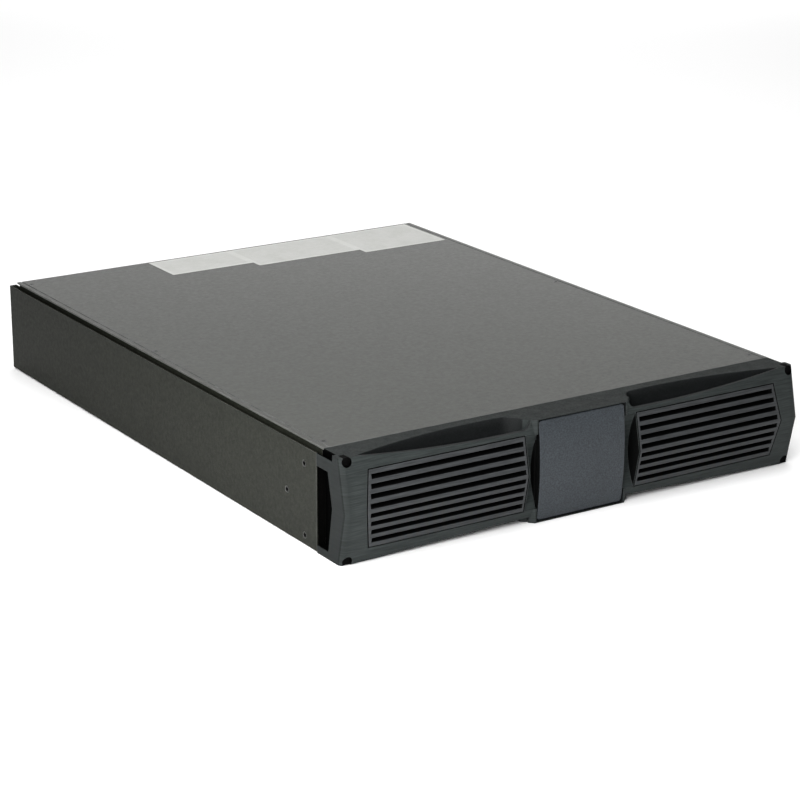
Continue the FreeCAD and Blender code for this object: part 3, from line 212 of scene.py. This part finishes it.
def zinc_plate(name, dark, light, grain):
    """Plated metal: fine crystal patches and a cloudy passivated tint."""
    finish, shader, place = new_finish(name)
    crystals = finish.node_tree.nodes.new("ShaderNodeTexVoronoi")
    crystals.inputs["Scale"].default_value = grain
    finish.node_tree.links.new(place, crystals.inputs["Vector"])
    tone = shades(finish, crystals.outputs["Distance"], (0.1, dark), (0.8, light))
    tint = shades(finish, cloud(finish, place, 60.0), (0.35, (0.9, 0.93, 0.97)), (0.65, (1.0, 0.98, 0.92)))
    shader.inputs["Metallic"].default_value = 1.0
    dress(finish, shader, overlaid(finish, tone, tint),
          spread(finish, cloud(finish, place, 400.0), 0.28, 0.44), crystals.outputs["Distance"], 0.00001)
    return finish


nut_zinc = zinc_plate("blackened_nut_zinc", (0.016, 0.016, 0.016), (0.034, 0.034, 0.033), 900.0)
ear_nuts = whole_copy("ear_nuts", "ear_clinch_nuts", nut_zinc)
round_edges(ear_nuts, 0.00018)
fit(ear_nuts, "plated_steel", "ear_nuts")

# Trays: two open steel trays that carry six blocks each and slide out towards the front once the front
# plate is off. They are folded from zinc plated sheet and each has a bent wire pull.


def coat_solids(finish, *names):
    """Give solids that stay as they are their finish."""
    for name in names:
        nodes[name].data.materials.clear()
        nodes[name].data.materials.append(finish)


tray_zinc = zinc_plate("tray_zinc", (0.4, 0.41, 0.42), (0.58, 0.59, 0.59), 120.0)
coat_solids(tray_zinc, "left_battery_tray", "right_battery_tray", "tray_pulls")

# Blocks: twelve sealed lead acid blocks lying on their sides, with welded cases of moulded plastic in a
# dark grey, slightly grained finish. They only stand in their trays.


def moulded(name, dark, light, rough, scale, depth, gloss=0.5):
    """Moulded plastic: fine spark-eroded grain, faint flow shades and an uneven sheen."""
    finish, shader, place = new_finish(name)
    shader.inputs["Specular IOR Level"].default_value = gloss
    grain = cloud(finish, place, scale, 2.0)
    tone = shades(finish, grain, (0.35, dark), (0.65, light))
    flow = shades(finish, cloud(finish, place, 14.0, 4.0),
                  (0.3, (0.85, 0.85, 0.86)), (0.7, (1.0, 1.0, 1.0)))
    dress(finish, shader, overlaid(finish, tone, flow),
          spread(finish, cloud(finish, place, 120.0), rough - 0.06, rough + 0.06), grain, depth)
    return finish


block_plastic = moulded(
    "block_case_plastic", (0.045, 0.046, 0.05), (0.075, 0.076, 0.08), 0.5, 700.0, 0.00005)
for side in ("left", "right"):
    for column in ("outer", "inner"):
        for row in (1, 2, 3):
            coat_solids(block_plastic, f"{side}_block_{column}_{row}")

# Wiring: short jumpers between the blocks, leads from each tray to its connector and on to the rear
# panel. They are stranded copper in soft plastic covers, crimped into push-on terminals.
red_cover = moulded("red_lead_cover", (0.24, 0.012, 0.01), (0.36, 0.022, 0.018), 0.42, 500.0, 0.00004)
black_cover = moulded(
    "black_lead_cover", (0.014, 0.014, 0.015), (0.03, 0.03, 0.031), 0.42, 500.0, 0.00004)
coat_solids(black_cover, "left_jumpers", "right_jumpers", "left_module_leads", "right_module_leads")
coat_solids(red_cover, "left_harness_leads", "right_harness_leads", "output_leads")

# Module plugs: two-part connectors at the rear of each tray, moulded in glass filled grey plastic. One
# half is fixed to the tray and the other hangs on the leads.
plug_grey = moulded("plug_grey_plastic", (0.1, 0.105, 0.11), (0.15, 0.155, 0.16), 0.48, 800.0, 0.00005)
coat_solids(plug_grey, "left_module_plug", "right_module_plug", "left_harness_plug", "right_harness_plug")

# Foam strips: soft foam strips stuck on top of the blocks, which the cover presses down so that nothing
# rattles. The cut cells show as small open pits.
foam_grey, foam_shader, foam_place = new_finish("foam_grey")
foam_pits = foam_grey.node_tree.nodes.new("ShaderNodeTexVoronoi")
foam_pits.inputs["Scale"].default_value = 900.0
foam_grey.node_tree.links.new(foam_place, foam_pits.inputs["Vector"])
cells = foam_pits.outputs["Distance"]
foam_tone = shades(foam_grey, cells, (0.15, (0.02, 0.02, 0.022)), (0.6, (0.085, 0.085, 0.09)))
dress(foam_grey, foam_shader, foam_tone, spread(foam_grey, cells, 0.85, 0.98), cells, 0.0003)
coat_solids(foam_grey, "foam_strips")

# Front plate: a vented steel plate behind the moulded front that keeps the trays in, with a foot that
# four pan head screws hold to the floor. It has a matt black coat, painted darker still as painted shade
# behind the front, and carries four snap studs.
plate_shade_coat = powder_coat(
    "front_plate_coat_painted_shade", (0.0008, 0.0008, 0.0008), (0.0018, 0.0018, 0.0017), 0.7, 0.03)
front_plate = whole_copy("front_plate", "vented_front_plate", plate_shade_coat)
round_edges(front_plate, 0.0002)
fit(front_plate, "panel_paint", "front_plate")
hardware_zinc = zinc_plate("hardware_zinc", (0.42, 0.43, 0.44), (0.62, 0.63, 0.62), 900.0)
coat_solids(hardware_zinc, "front_plate_screws")
coat_solids(nut_zinc, "bezel_studs")

# Rear panel: a pierced steel panel set back between the side walls, with vents at both ends and openings
# for the two connectors and the breaker. It is coated black and screwed to the floor.
panel_coat = powder_coat("panel_powder_coat", (0.018, 0.018, 0.018), (0.032, 0.032, 0.031), 0.5, 0.35)
panel_edge = rubbed_edge("panel_rubbed_edge", (0.035, 0.035, 0.034), (0.085, 0.085, 0.082))
rear_panel = whole_copy("rear_panel", "pierced_rear_panel", panel_coat, panel_edge)
round_edges(rear_panel, 0.0002, strip=1)
fit(rear_panel, "panel_paint", "rear_panel")
coat_solids(hardware_zinc, "rear_panel_screws")

# Rear connectors: two shrouded sockets for the battery current, moulded in grey plastic, snapped into the
# panel from behind. Each has two cells with a flat tinned blade in it.
for node, name in (("input_connector", "input_socket"), ("output_connector", "output_socket")):
    socket = whole_copy(node, name, plug_grey)
    round_edges(socket, 0.0006, 3)
    fit(socket, "plug_plastic", node)
tinned = zinc_plate("tinned_blade", (0.55, 0.53, 0.48), (0.74, 0.72, 0.66), 1400.0)
blades = whole_copy("connector_blades", "socket_blades", tinned)
round_edges(blades, 0.0004)
fit(blades, "contact_brass", "connector_blades")

# Breaker: a circuit breaker behind the rear panel, whose lever rocks on a steel pin and shows through a
# slot in the panel. Body and lever are moulded in black plastic.
breaker_black = moulded(
    "breaker_black_plastic", (0.012, 0.012, 0.013), (0.024, 0.024, 0.025), 0.4, 900.0, 0.00003)
lever_black = moulded(
    "lever_black_plastic", (0.032, 0.032, 0.034), (0.058, 0.058, 0.06), 0.36, 900.0, 0.00003)
breaker_body = whole_copy("breaker_body", "breaker_case", breaker_black)
round_edges(breaker_body, 0.0004)
fit(breaker_body, "breaker_plastic", "breaker_body")
coat_solids(hardware_zinc, "breaker_pin")
lever = whole_copy("breaker_lever", "breaker_rocker", lever_black)
round_edges(lever, 0.0007, 3)
fit(lever, "breaker_plastic", "breaker_lever", body="lever")

# Ground stud: a threaded stud pressed through the rear panel, with a plain hexagon nut run onto it for an
# earth lead. Both are zinc plated steel.
earth_nut = whole_copy("ground_nut", "earth_nut", hardware_zinc)
round_edges(earth_nut, 0.0003)
fit(earth_nut, "plated_steel", "ground_nut")
low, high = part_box("ground_stud")
axis = (low + high) / 2
thread_radius = 0.0025
head_length = 0.0035
plain_length = 0.0016
tip_bevel = 0.0003
rings = 60
root_share = 0.88
tip_share = 0.78
head_end = low.y + head_length
thread_start = head_end + plain_length
thread_length = high.y - thread_start - tip_bevel
bpy.ops.object.select_all(action="DESELECT")
bpy.ops.mesh.primitive_cylinder_add(
    vertices=40, radius=thread_radius, depth=high.y - head_end,
    location=(axis.x, (head_end + high.y) / 2, axis.z), rotation=(math.radians(90.0), 0.0, 0.0))
earth_stud = bpy.context.object
earth_stud.name = "earth_stud"
bpy.ops.object.transform_apply(location=True, rotation=True, scale=True)
bpy.ops.object.mode_set(mode="EDIT")
for step in range(rings + 1):
    bpy.ops.mesh.select_all(action="SELECT")
    along = thread_start + thread_length * step / rings
    bpy.ops.mesh.bisect(plane_co=(0.0, along, 0.0), plane_no=(0.0, 1.0, 0.0))
bpy.ops.object.mode_set(mode="OBJECT")
for vertex in earth_stud.data.vertices:
    step = (vertex.co.y - thread_start) * rings / thread_length
    on_tip = vertex.co.y > high.y - tip_bevel / 3
    in_root = step > -0.1 and round(step) % 2 == 0
    share = tip_share if on_tip else root_share if in_root else 1.0
    vertex.co.x = axis.x + (vertex.co.x - axis.x) * share
    vertex.co.z = axis.z + (vertex.co.z - axis.z) * share
bpy.ops.object.select_all(action="DESELECT")
bpy.ops.mesh.primitive_cylinder_add(
    vertices=48, radius=(high.x - low.x) / 2, depth=head_end - low.y,
    location=(axis.x, (low.y + head_end) / 2, axis.z), rotation=(math.radians(90.0), 0.0, 0.0))
stud_head = bpy.context.object
bpy.ops.object.transform_apply(location=True, rotation=True, scale=True)
bpy.ops.object.shade_smooth_by_angle(angle=crease_angle)
round_edges(stud_head, 0.0005, 3)
select_only(earth_stud, stud_head)
bpy.ops.object.join()
earth_stud.data.materials.append(hardware_zinc)
bpy.ops.object.shade_smooth_by_angle(angle=crease_angle)
fit(earth_stud, "plated_steel", "ground_stud")

# Cover: a flat steel plate that closes the top, with a line pressed into it inside both long edges. It is
# coated like the case in a smoother batch, painted paler than the case as painted light from above.
lit_cover_coat = powder_coat("cover_powder_coat_painted_light", (0.0185, 0.0202, 0.0172), (0.0335, 0.0366, 0.0312), 0.38, 0.45)
lit_cover_edge = rubbed_edge("cover_rubbed_edge_painted_light", (0.05, 0.051, 0.049), (0.12, 0.121, 0.118))
cover = whole_copy("top_cover", "steel_cover", lit_cover_coat, lit_cover_edge)
round_edges(cover, 0.0002, strip=1)
fit(cover, "cover_paint", "top_cover")

# Cover screws: six countersunk steel screws, blackened, with cross recesses. They go through the cover
# into the turned-in rails of the case and sit flush.
screw_black = zinc_plate("blackened_steel", (0.03, 0.03, 0.031), (0.06, 0.06, 0.06), 1500.0)
low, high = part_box("cover_screws")
head_radius = 0.0028
shank_radius = 0.0015
rim_height = 0.00025
rim_share = 0.95
recess_size = (0.0034, 0.0008, 0.003)
recess_taper = 0.6
hair = 0.00001
screw_gap = 0.02
first_turn = 17.0
next_turn = 41.0
sink = high.z - head_radius + shank_radius
bpy.ops.object.select_all(action="DESELECT")
bpy.ops.mesh.primitive_cylinder_add(
    vertices=48, radius=head_radius, depth=high.z - low.z, location=(0.0, 0.0, (low.z + high.z) / 2))
cover_screw = bpy.context.object
cover_screw.name = "cover_countersunk_screws"
bpy.ops.object.transform_apply(location=True, rotation=True, scale=True)
bpy.ops.object.mode_set(mode="EDIT")
for height in (sink, high.z - rim_height):
    bpy.ops.mesh.select_all(action="SELECT")
    bpy.ops.mesh.bisect(plane_co=(0.0, 0.0, height), plane_no=(0.0, 0.0, 1.0))
bpy.ops.object.mode_set(mode="OBJECT")
for vertex in cover_screw.data.vertices:
    if vertex.co.z < sink + hair:
        vertex.co.x *= shank_radius / head_radius
        vertex.co.y *= shank_radius / head_radius
    elif vertex.co.z > high.z - hair:
        vertex.co.x *= rim_share
        vertex.co.y *= rim_share
for turned in (0.0, 90.0):
    bpy.ops.object.select_all(action="DESELECT")
    bpy.ops.mesh.primitive_cube_add(
        size=1.0, location=(0.0, 0.0, high.z), rotation=(0.0, 0.0, math.radians(turned)))
    cross_bar = bpy.context.object
    cross_bar.scale = recess_size
    bpy.ops.object.transform_apply(location=True, rotation=True, scale=True)
    for vertex in cross_bar.data.vertices:
        if vertex.co.z < high.z:
            vertex.co.x *= recess_taper
            vertex.co.y *= recess_taper
    select_only(cover_screw)
    bpy.ops.object.modifier_add(type="BOOLEAN")
    cut = cover_screw.modifiers[-1]
    cut.operation = "DIFFERENCE"
    cut.object = cross_bar
    bpy.ops.object.modifier_apply(modifier=cut.name)
    select_only(cross_bar)
    bpy.ops.object.delete()
cover_screw.data.materials.append(screw_black)
spots = [vertex.co.xy.copy() for vertex in nodes["cover_screws"].data.vertices]
places = []
for spot in spots:
    if all((spot - place).length > screw_gap for place in places):
        places.append(spot)
centres = []
for place in places:
    ring = [spot for spot in spots if (spot - place).length < screw_gap / 2]
    across = [spot.x for spot in ring]
    along = [spot.y for spot in ring]
    centres.append(((min(across) + max(across)) / 2, (min(along) + max(along)) / 2))
copies = []
for number, (across, along) in enumerate(sorted(centres)):
    copy = cover_screw.copy()
    copy.data = cover_screw.data.copy()
    bpy.context.scene.collection.objects.link(copy)
    copy.location = (across, along, 0.0)
    copy.rotation_euler = (0.0, 0.0, math.radians(first_turn + next_turn * number))
    copies.append(copy)
select_only(*copies)
bpy.ops.object.transform_apply(location=True, rotation=True, scale=True)
bpy.data.objects.remove(cover_screw)
bpy.ops.object.join()
cover_screws = copies[0]
cover_screws.name = "cover_countersunk_screws"
bpy.ops.object.shade_smooth_by_angle(angle=crease_angle)
fit(cover_screws, "dark_screw", "cover_screws")

# Labels: three blank paper labels stuck side by side at the rear of the cover. Each is white stock with a
# plain pale grey field inside its margin, a little rubbed and dusty.


def label_stock(name, dark, light):
    """Coated paper: short fibres, an uneven satin coat and a little dust."""
    finish, shader, place = new_finish(name)
    fibres = cloud(finish, place, 1600.0, 3.0)
    tone = shades(finish, fibres, (0.3, dark), (0.7, light))
    dust = shades(finish, cloud(finish, place, 45.0, 5.0),
                  (0.32, (0.93, 0.93, 0.92)), (0.6, (1.0, 1.0, 1.0)))
    dress(finish, shader, overlaid(finish, tone, dust),
          spread(finish, cloud(finish, place, 200.0), 0.5, 0.68), fibres, 0.00002)
    return finish


margin_paper = label_stock("label_margin_paper", (0.422, 0.426, 0.408), (0.5, 0.504, 0.484))
field_paper = label_stock("label_field_paper", (0.383, 0.386, 0.37), (0.452, 0.455, 0.438))
label_margin = 0.0035
label_corner = 0.0012
for part in ("left", "middle", "right"):
    low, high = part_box(f"rear_label_{part}")
    middle = (low + high) / 2
    bpy.ops.object.select_all(action="DESELECT")
    bpy.ops.mesh.primitive_plane_add(size=1.0, location=(middle.x, middle.y, low.z))
    label = bpy.context.object
    label.name = f"paper_label_{part}"
    label.scale = (high.x - low.x, high.y - low.y, 1.0)
    bpy.ops.object.transform_apply(location=True, rotation=True, scale=True)
    bpy.ops.object.mode_set(mode="EDIT")
    bpy.ops.mesh.select_all(action="SELECT")
    bpy.ops.mesh.bevel(offset=label_corner, segments=4, affect="VERTICES")
    bpy.ops.mesh.select_all(action="SELECT")
    bpy.ops.mesh.extrude_region_move(TRANSFORM_OT_translate={"value": (0.0, 0.0, high.z - low.z)})
    bpy.ops.mesh.select_all(action="SELECT")
    bpy.ops.mesh.normals_make_consistent(inside=False)
    for across in (low.x + label_margin, high.x - label_margin):
        bpy.ops.mesh.select_all(action="SELECT")
        bpy.ops.mesh.bisect(plane_co=(across, 0.0, 0.0), plane_no=(1.0, 0.0, 0.0))
    for along in (low.y + label_margin, high.y - label_margin):
        bpy.ops.mesh.select_all(action="SELECT")
        bpy.ops.mesh.bisect(plane_co=(0.0, along, 0.0), plane_no=(0.0, 1.0, 0.0))
    bpy.ops.object.mode_set(mode="OBJECT")
    label.data.materials.append(margin_paper)
    label.data.materials.append(field_paper)
    for face in label.data.polygons:
        in_middle = (face.center.xy - middle.xy).length < label_margin
        face.material_index = 1 if in_middle and face.normal.z > 0.9 else 0
    fit(label, "label_paper", f"rear_label_{part}")

# Bezel: the moulded front, snapped over four studs, ridged along the middle, with finger scoops along
# its top and bottom edges. Its outer faces have a brushed charcoal lacquer, with painted shade on the side
# ends and towards both ends of the front, and its recesses are bare black, darkened further as painted
# shade.
# Painted shade: between these distances from the middle, the brushed lacquer darkens towards both ends of
# the front.
end_shade_from = 0.2125
end_shade_to = 0.2192


def brushed(name, dark, light, rough, gloss, shade_at_ends=1.0):
    """Charcoal lacquer brushed level: fine streaks over broader bands of shade, with painted shade darkening
    it round the ends.
    """
    finish, shader, place = new_finish(name)
    shader.inputs["Specular IOR Level"].default_value = gloss
    streaks = cloud(finish, place, 1.0, 4.0, (60.0, 60.0, 1500.0))
    tone = shades(finish, streaks, (0.3, dark), (0.7, light))
    bands = shades(finish, cloud(finish, place, 1.0, 4.0, (24.0, 24.0, 420.0)),
                   (0.32, (0.8, 0.8, 0.81)), (0.66, (1.0, 1.0, 1.0)))
    apart = finish.node_tree.nodes.new("ShaderNodeSeparateXYZ")
    outward = finish.node_tree.nodes.new("ShaderNodeMath")
    outward.operation = "ABSOLUTE"
    finish.node_tree.links.new(place, apart.inputs["Vector"])
    finish.node_tree.links.new(apart.outputs["X"], outward.inputs[0])
    end_shade = shades(finish, outward.outputs["Value"],
                  (end_shade_from, (1.0, 1.0, 1.0)), (end_shade_to, (shade_at_ends, shade_at_ends, shade_at_ends)))
    dress(finish, shader, overlaid(finish, overlaid(finish, tone, bands), end_shade),
          spread(finish, streaks, rough - 0.07, rough + 0.07), streaks, 0.00003)
    return finish


# The front lacquer takes painted shade towards both ends, where the front rounds into the sides.
front_lacquer = brushed(
    "brushed_front_lacquer", (0.0166, 0.0198, 0.0192), (0.0328, 0.0386, 0.0378), 0.5, 0.1, 0.66)
# The side ends take a copy of the brushed lacquer painted about half as bright, as painted shade on the
# sides.
shaded_side_lacquer = brushed(
    "brushed_side_lacquer_painted_shade", (0.0069, 0.0081, 0.008), (0.0138, 0.0163, 0.0159), 0.55, 0.05)
# Bare black plastic for the scoops, darkened below its own black as painted shade in the hollows.
bare_black_and_shade = moulded(
    "bare_black_plastic_and_shade", (0.0042, 0.0052, 0.0053), (0.009, 0.0104, 0.0108), 0.6, 900.0, 0.00003, 0.25)
plain_charcoal = moulded(
    "plain_charcoal_plastic", (0.0125, 0.0142, 0.0138), (0.023, 0.0258, 0.025), 0.6, 700.0, 0.00004, 0.04)
# Near-black plastic for the pockets, holes, slot walls and plate sides, painted near to nothing as painted
# shade.
pocket_shade_black = moulded(
    "pocket_black_painted_shade", (0.0012, 0.0013, 0.0013), (0.0028, 0.003, 0.003), 0.75, 900.0, 0.00003, 0.04)
# The side notch is painted all but black, as painted shade in its deep opening.
notch_shade_black = moulded(
    "notch_black_painted_shade", (0.0002, 0.0002, 0.0002), (0.0006, 0.0006, 0.0006), 0.8, 900.0, 0.00003, 0.01)
front_finish, scoop_black_and_shade, level_finish, pocket_shade_finish, shaded_side_finish, notch_shade_finish = range(6)
bezel = whole_copy(
    "bezel", "moulded_front", front_lacquer, bare_black_and_shade, plain_charcoal, pocket_shade_black, shaded_side_lacquer,
    notch_shade_black, whole_faces=False)
front_plane = -0.3
ridge_rise = 0.009
mid_height = 0.0425
full_height = 0.085
panel_half = 0.0425
block_half = 0.0505
pocket_half = 0.0535
scoop_half = 0.206
notch_half = 0.207
round_half = 0.2149
side_half = 0.2195
scoop_top = 0.069
scoop_bottom = 0.016
scoop_depth = 0.0065
block_depth = 0.012
pocket_depth = 0.0155
round_depth = 0.0138
ridge_slack = 0.0006
level_slack = 0.0002
strip_width = 0.001
strip_depth = 0.011
hole_half = 0.2015
hole_depth = 0.014
hole_bottom = 0.0085
hole_top = 0.0755


def ridge_depth(height):
    """Where the ridged front face stands at some height."""
    return front_plane + ridge_rise * abs(mid_height - height) / mid_height


def on_thin_rim(spot):
    """Whether an edge belongs to the thin strips beside the centre panel, or round the corner holes."""
    out = abs(spot.x)
    on_strip = spot.z < strip_width or spot.z > full_height - strip_width
    by_corner = spot.z < hole_bottom or spot.z > hole_top
    beside_panel = out < panel_half + strip_width and spot.y < front_plane + strip_depth and on_strip
    by_hole = out > hole_half and spot.y < front_plane + hole_depth and by_corner
    return beside_panel or by_hole


for face in bezel.data.polygons:
    spot = face.center
    out = abs(spot.x)
    forward = face.normal.y < -0.3
    depth = spot.y - front_plane
    on_ridge = forward and spot.y < ridge_depth(spot.z) + ridge_slack
    on_block = forward and panel_half < out < block_half and depth < block_depth
    in_pocket = face.normal.y < -0.5 and panel_half < out < pocket_half and depth < pocket_depth
    on_round = face.normal.y < -0.05 and out > round_half and depth < round_depth
    in_scoop = out < scoop_half and depth > scoop_depth and not scoop_bottom <= spot.z <= scoop_top
    if spot.z > full_height - level_slack or spot.z < level_slack:
        face.material_index = level_finish
    # Faces on the side ends take the darker lacquer copy, painted shade.
    elif abs(face.normal.x) > 0.7 and out > side_half:
        face.material_index = shaded_side_finish
    elif on_ridge or on_block or on_round or in_pocket:
        face.material_index = front_finish
    # Scoop faces take the bare black, darkened as painted shade.
    elif in_scoop:
        face.material_index = scoop_black_and_shade
    # Every other face, in the pockets, round the holes and in the side notch, takes near-black painted
    # shade.
    else:
        face.material_index = notch_shade_finish if out > notch_half else pocket_shade_finish
round_edges(bezel, 0.0004, thin=on_thin_rim)
fit(bezel, "bezel_plastic", "bezel")

# Grilles: two louvred inserts snapped into the bezel from behind, moulded in black and lacquered on the
# front faces of their slats only. The slot walls are painted near-black as painted shade.
slat_lacquer = brushed(
    "brushed_slat_lacquer", (0.0235, 0.0252, 0.0263), (0.0445, 0.0476, 0.0496), 0.5, 0.15)
for side in ("left", "right"):
    grille = whole_copy(f"{side}_grille", f"{side}_louvre", slat_lacquer, pocket_shade_black)
    # Faces that don't face forward take the near-black pocket finish, painted shade in the slots.
    for face in grille.data.polygons:
        face.material_index = 0 if face.normal.y < -0.5 else 1
    round_edges(grille, 0.0004)
    fit(grille, "bezel_plastic", f"{side}_grille")

# Corner plugs: four small rubber plugs pressed into holes at the corners of the bezel, where rack ears
# would be screwed through.
# The rubber is painted darker than black rubber, as painted shade in the corner holes.
plug_rubber_and_shade = moulded(
    "plug_black_rubber_and_shade", (0.0008, 0.0008, 0.0008), (0.002, 0.002, 0.002), 0.8, 700.0, 0.00004, 0.03)
corner_plugs = whole_copy("corner_plugs", "corner_rubber_plugs", plug_rubber_and_shade)
round_edges(corner_plugs, 0.0005, 3)
fit(corner_plugs, "black_rubber", "corner_plugs")

# Centre panel: a square plate, slightly bowed, set into the middle of the bezel. It is moulded and has
# a smooth satin lacquer on its face, bluish beside the brushed front.
badge_satin, badge_shader, badge_place = new_finish("badge_satin_lacquer")
badge_shader.inputs["Specular IOR Level"].default_value = 0.25
badge_grain = cloud(badge_satin, badge_place, 900.0, 3.0)
badge_tone = shades(badge_satin, badge_grain,
                    (0.36, (0.018, 0.0218, 0.0256)), (0.64, (0.0324, 0.0389, 0.0454)))
badge_drift = shades(badge_satin, cloud(badge_satin, badge_place, 25.0, 4.0),
                     (0.3, (0.9, 0.9, 0.9)), (0.7, (1.0, 1.0, 1.0)))
dress(badge_satin, badge_shader, overlaid(badge_satin, badge_tone, badge_drift),
      spread(badge_satin, cloud(badge_satin, badge_place, 70.0), 0.34, 0.44), badge_grain, 0.00002)
low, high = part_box("centre_panel")
middle = (low + high) / 2
corner_radius = 0.003
bow = 0.003
strips = 16
bpy.ops.object.select_all(action="DESELECT")
bpy.ops.mesh.primitive_cube_add(size=1.0, location=middle)
badge = bpy.context.object
badge.name = "badge_plate"
badge.scale = high - low
bpy.ops.object.transform_apply(location=True, rotation=True, scale=True)
bpy.ops.object.mode_set(mode="EDIT")
bpy.ops.mesh.select_mode(type="EDGE")
bpy.ops.mesh.select_all(action="DESELECT")
bpy.ops.object.mode_set(mode="OBJECT")
for edge in badge.data.edges:
    start, end = (badge.data.vertices[number].co for number in edge.vertices)
    edge.select = abs(start.y - end.y) > 0.001
bpy.ops.object.mode_set(mode="EDIT")
bpy.ops.mesh.bevel(offset=corner_radius, segments=6)
for step in range(1, strips):
    bpy.ops.mesh.select_all(action="SELECT")
    height = low.z + corner_radius + (high.z - low.z - 2 * corner_radius) * step / strips
    bpy.ops.mesh.bisect(plane_co=(0.0, 0.0, height), plane_no=(0.0, 0.0, 1.0))
bpy.ops.mesh.select_all(action="SELECT")
bpy.ops.mesh.normals_make_consistent(inside=False)
bpy.ops.object.mode_set(mode="OBJECT")
for vertex in badge.data.vertices:
    if vertex.co.y < middle.y:
        vertex.co.y += bow * ((vertex.co.z - middle.z) / (high.z - middle.z)) ** 2
select_only(badge)
bpy.ops.object.shade_smooth_by_angle(angle=crease_angle)
badge.data.materials.append(badge_satin)
# The plate's sides take the near-black pocket finish, as painted shade in its pocket.
badge.data.materials.append(pocket_shade_black)
for face in badge.data.polygons:
    face.material_index = 0 if face.normal.y < -0.5 else 1
round_edges(badge, 0.0006, 3)
fit(badge, "badge_plastic", "centre_panel")

# Studio: a wide pale floor in a pale room, under one broad soft lamp, with smaller soft lamps beside the
# front and behind the pack. None of it belongs to the pack.
bpy.ops.object.select_all(action="DESELECT")
floor_size = 60.0
floor_drop = 0.0004
bpy.ops.mesh.primitive_plane_add(size=floor_size, location=(0.0, 0.0, -floor_drop))
floor = bpy.context.object
floor.name = "studio_floor"
floor_paint, floor_shader = new_finish("floor_paint")[:2]
floor_shader.inputs["Base Color"].default_value = (0.94, 0.94, 0.94, 1.0)
floor_shader.inputs["Roughness"].default_value = 0.9
floor.data.materials.append(floor_paint)


def soft_light(place, aim, width, height, power):
    """A soft rectangular lamp that the camera doesn't see, pointed at some place."""
    bpy.ops.object.light_add(type="AREA", location=place)
    lamp = bpy.context.object
    lamp.rotation_euler = (Vector(aim) - lamp.location).to_track_quat("-Z", "Y").to_euler()
    lamp.data.shape = "RECTANGLE"
    lamp.data.size = width
    lamp.data.size_y = height
    lamp.data.energy = power
    lamp.visible_camera = False


soft_light((0.0, 0.2, 2.6), (0.0, 0.2, 0.0), 3.0, 3.0, 80.0)
soft_light((-1.3, -1.0, 0.8), (-0.1, -0.2, 0.05), 0.9, 0.9, 20.0)
soft_light((-0.5, -0.2, 0.2), (-0.22, -0.21, 0.05), 0.2, 0.2, 1.28)
soft_light((-0.45, -0.8, 0.36), (-0.1, -0.29, 0.05), 0.3, 0.3, 3.1)
soft_light((1.75, 2.6, 0.42), (0.0, 0.0, 0.08), 2.6, 0.5, 13.0)
soft_light((1.4, 2.4, 2.6), (1.4, 2.4, 0.0), 2.5, 2.5, 15.0)
room = bpy.data.worlds.new("studio_room")
bpy.context.scene.world = room
room.use_nodes = True
room.node_tree.nodes["Background"].inputs["Color"].default_value = (1.0, 1.0, 1.0, 1.0)
room.node_tree.nodes["Background"].inputs["Strength"].default_value = 0.2
bpy.context.scene.view_settings.view_transform = "Standard"

# Camera: a long lens in front of the pack, left of its middle and above it. It is turned towards the
# pack and tilted down.
camera_place = (-1.0911, -1.7286, 0.6795)
turn = Matrix.Rotation(math.radians(-32.72), 3, "Z")
tilt = Matrix.Rotation(math.radians(90.0 - 18.07), 3, "X")
roll = Matrix.Rotation(math.radians(0.16), 3, "Z")
bpy.ops.object.camera_add(location=camera_place, rotation=(turn @ tilt @ roll).to_euler())
camera = bpy.context.object
camera.data.sensor_width = 36.0
camera.data.lens = 109.03
camera.data.clip_end = 200.0
bpy.context.scene.camera = camera
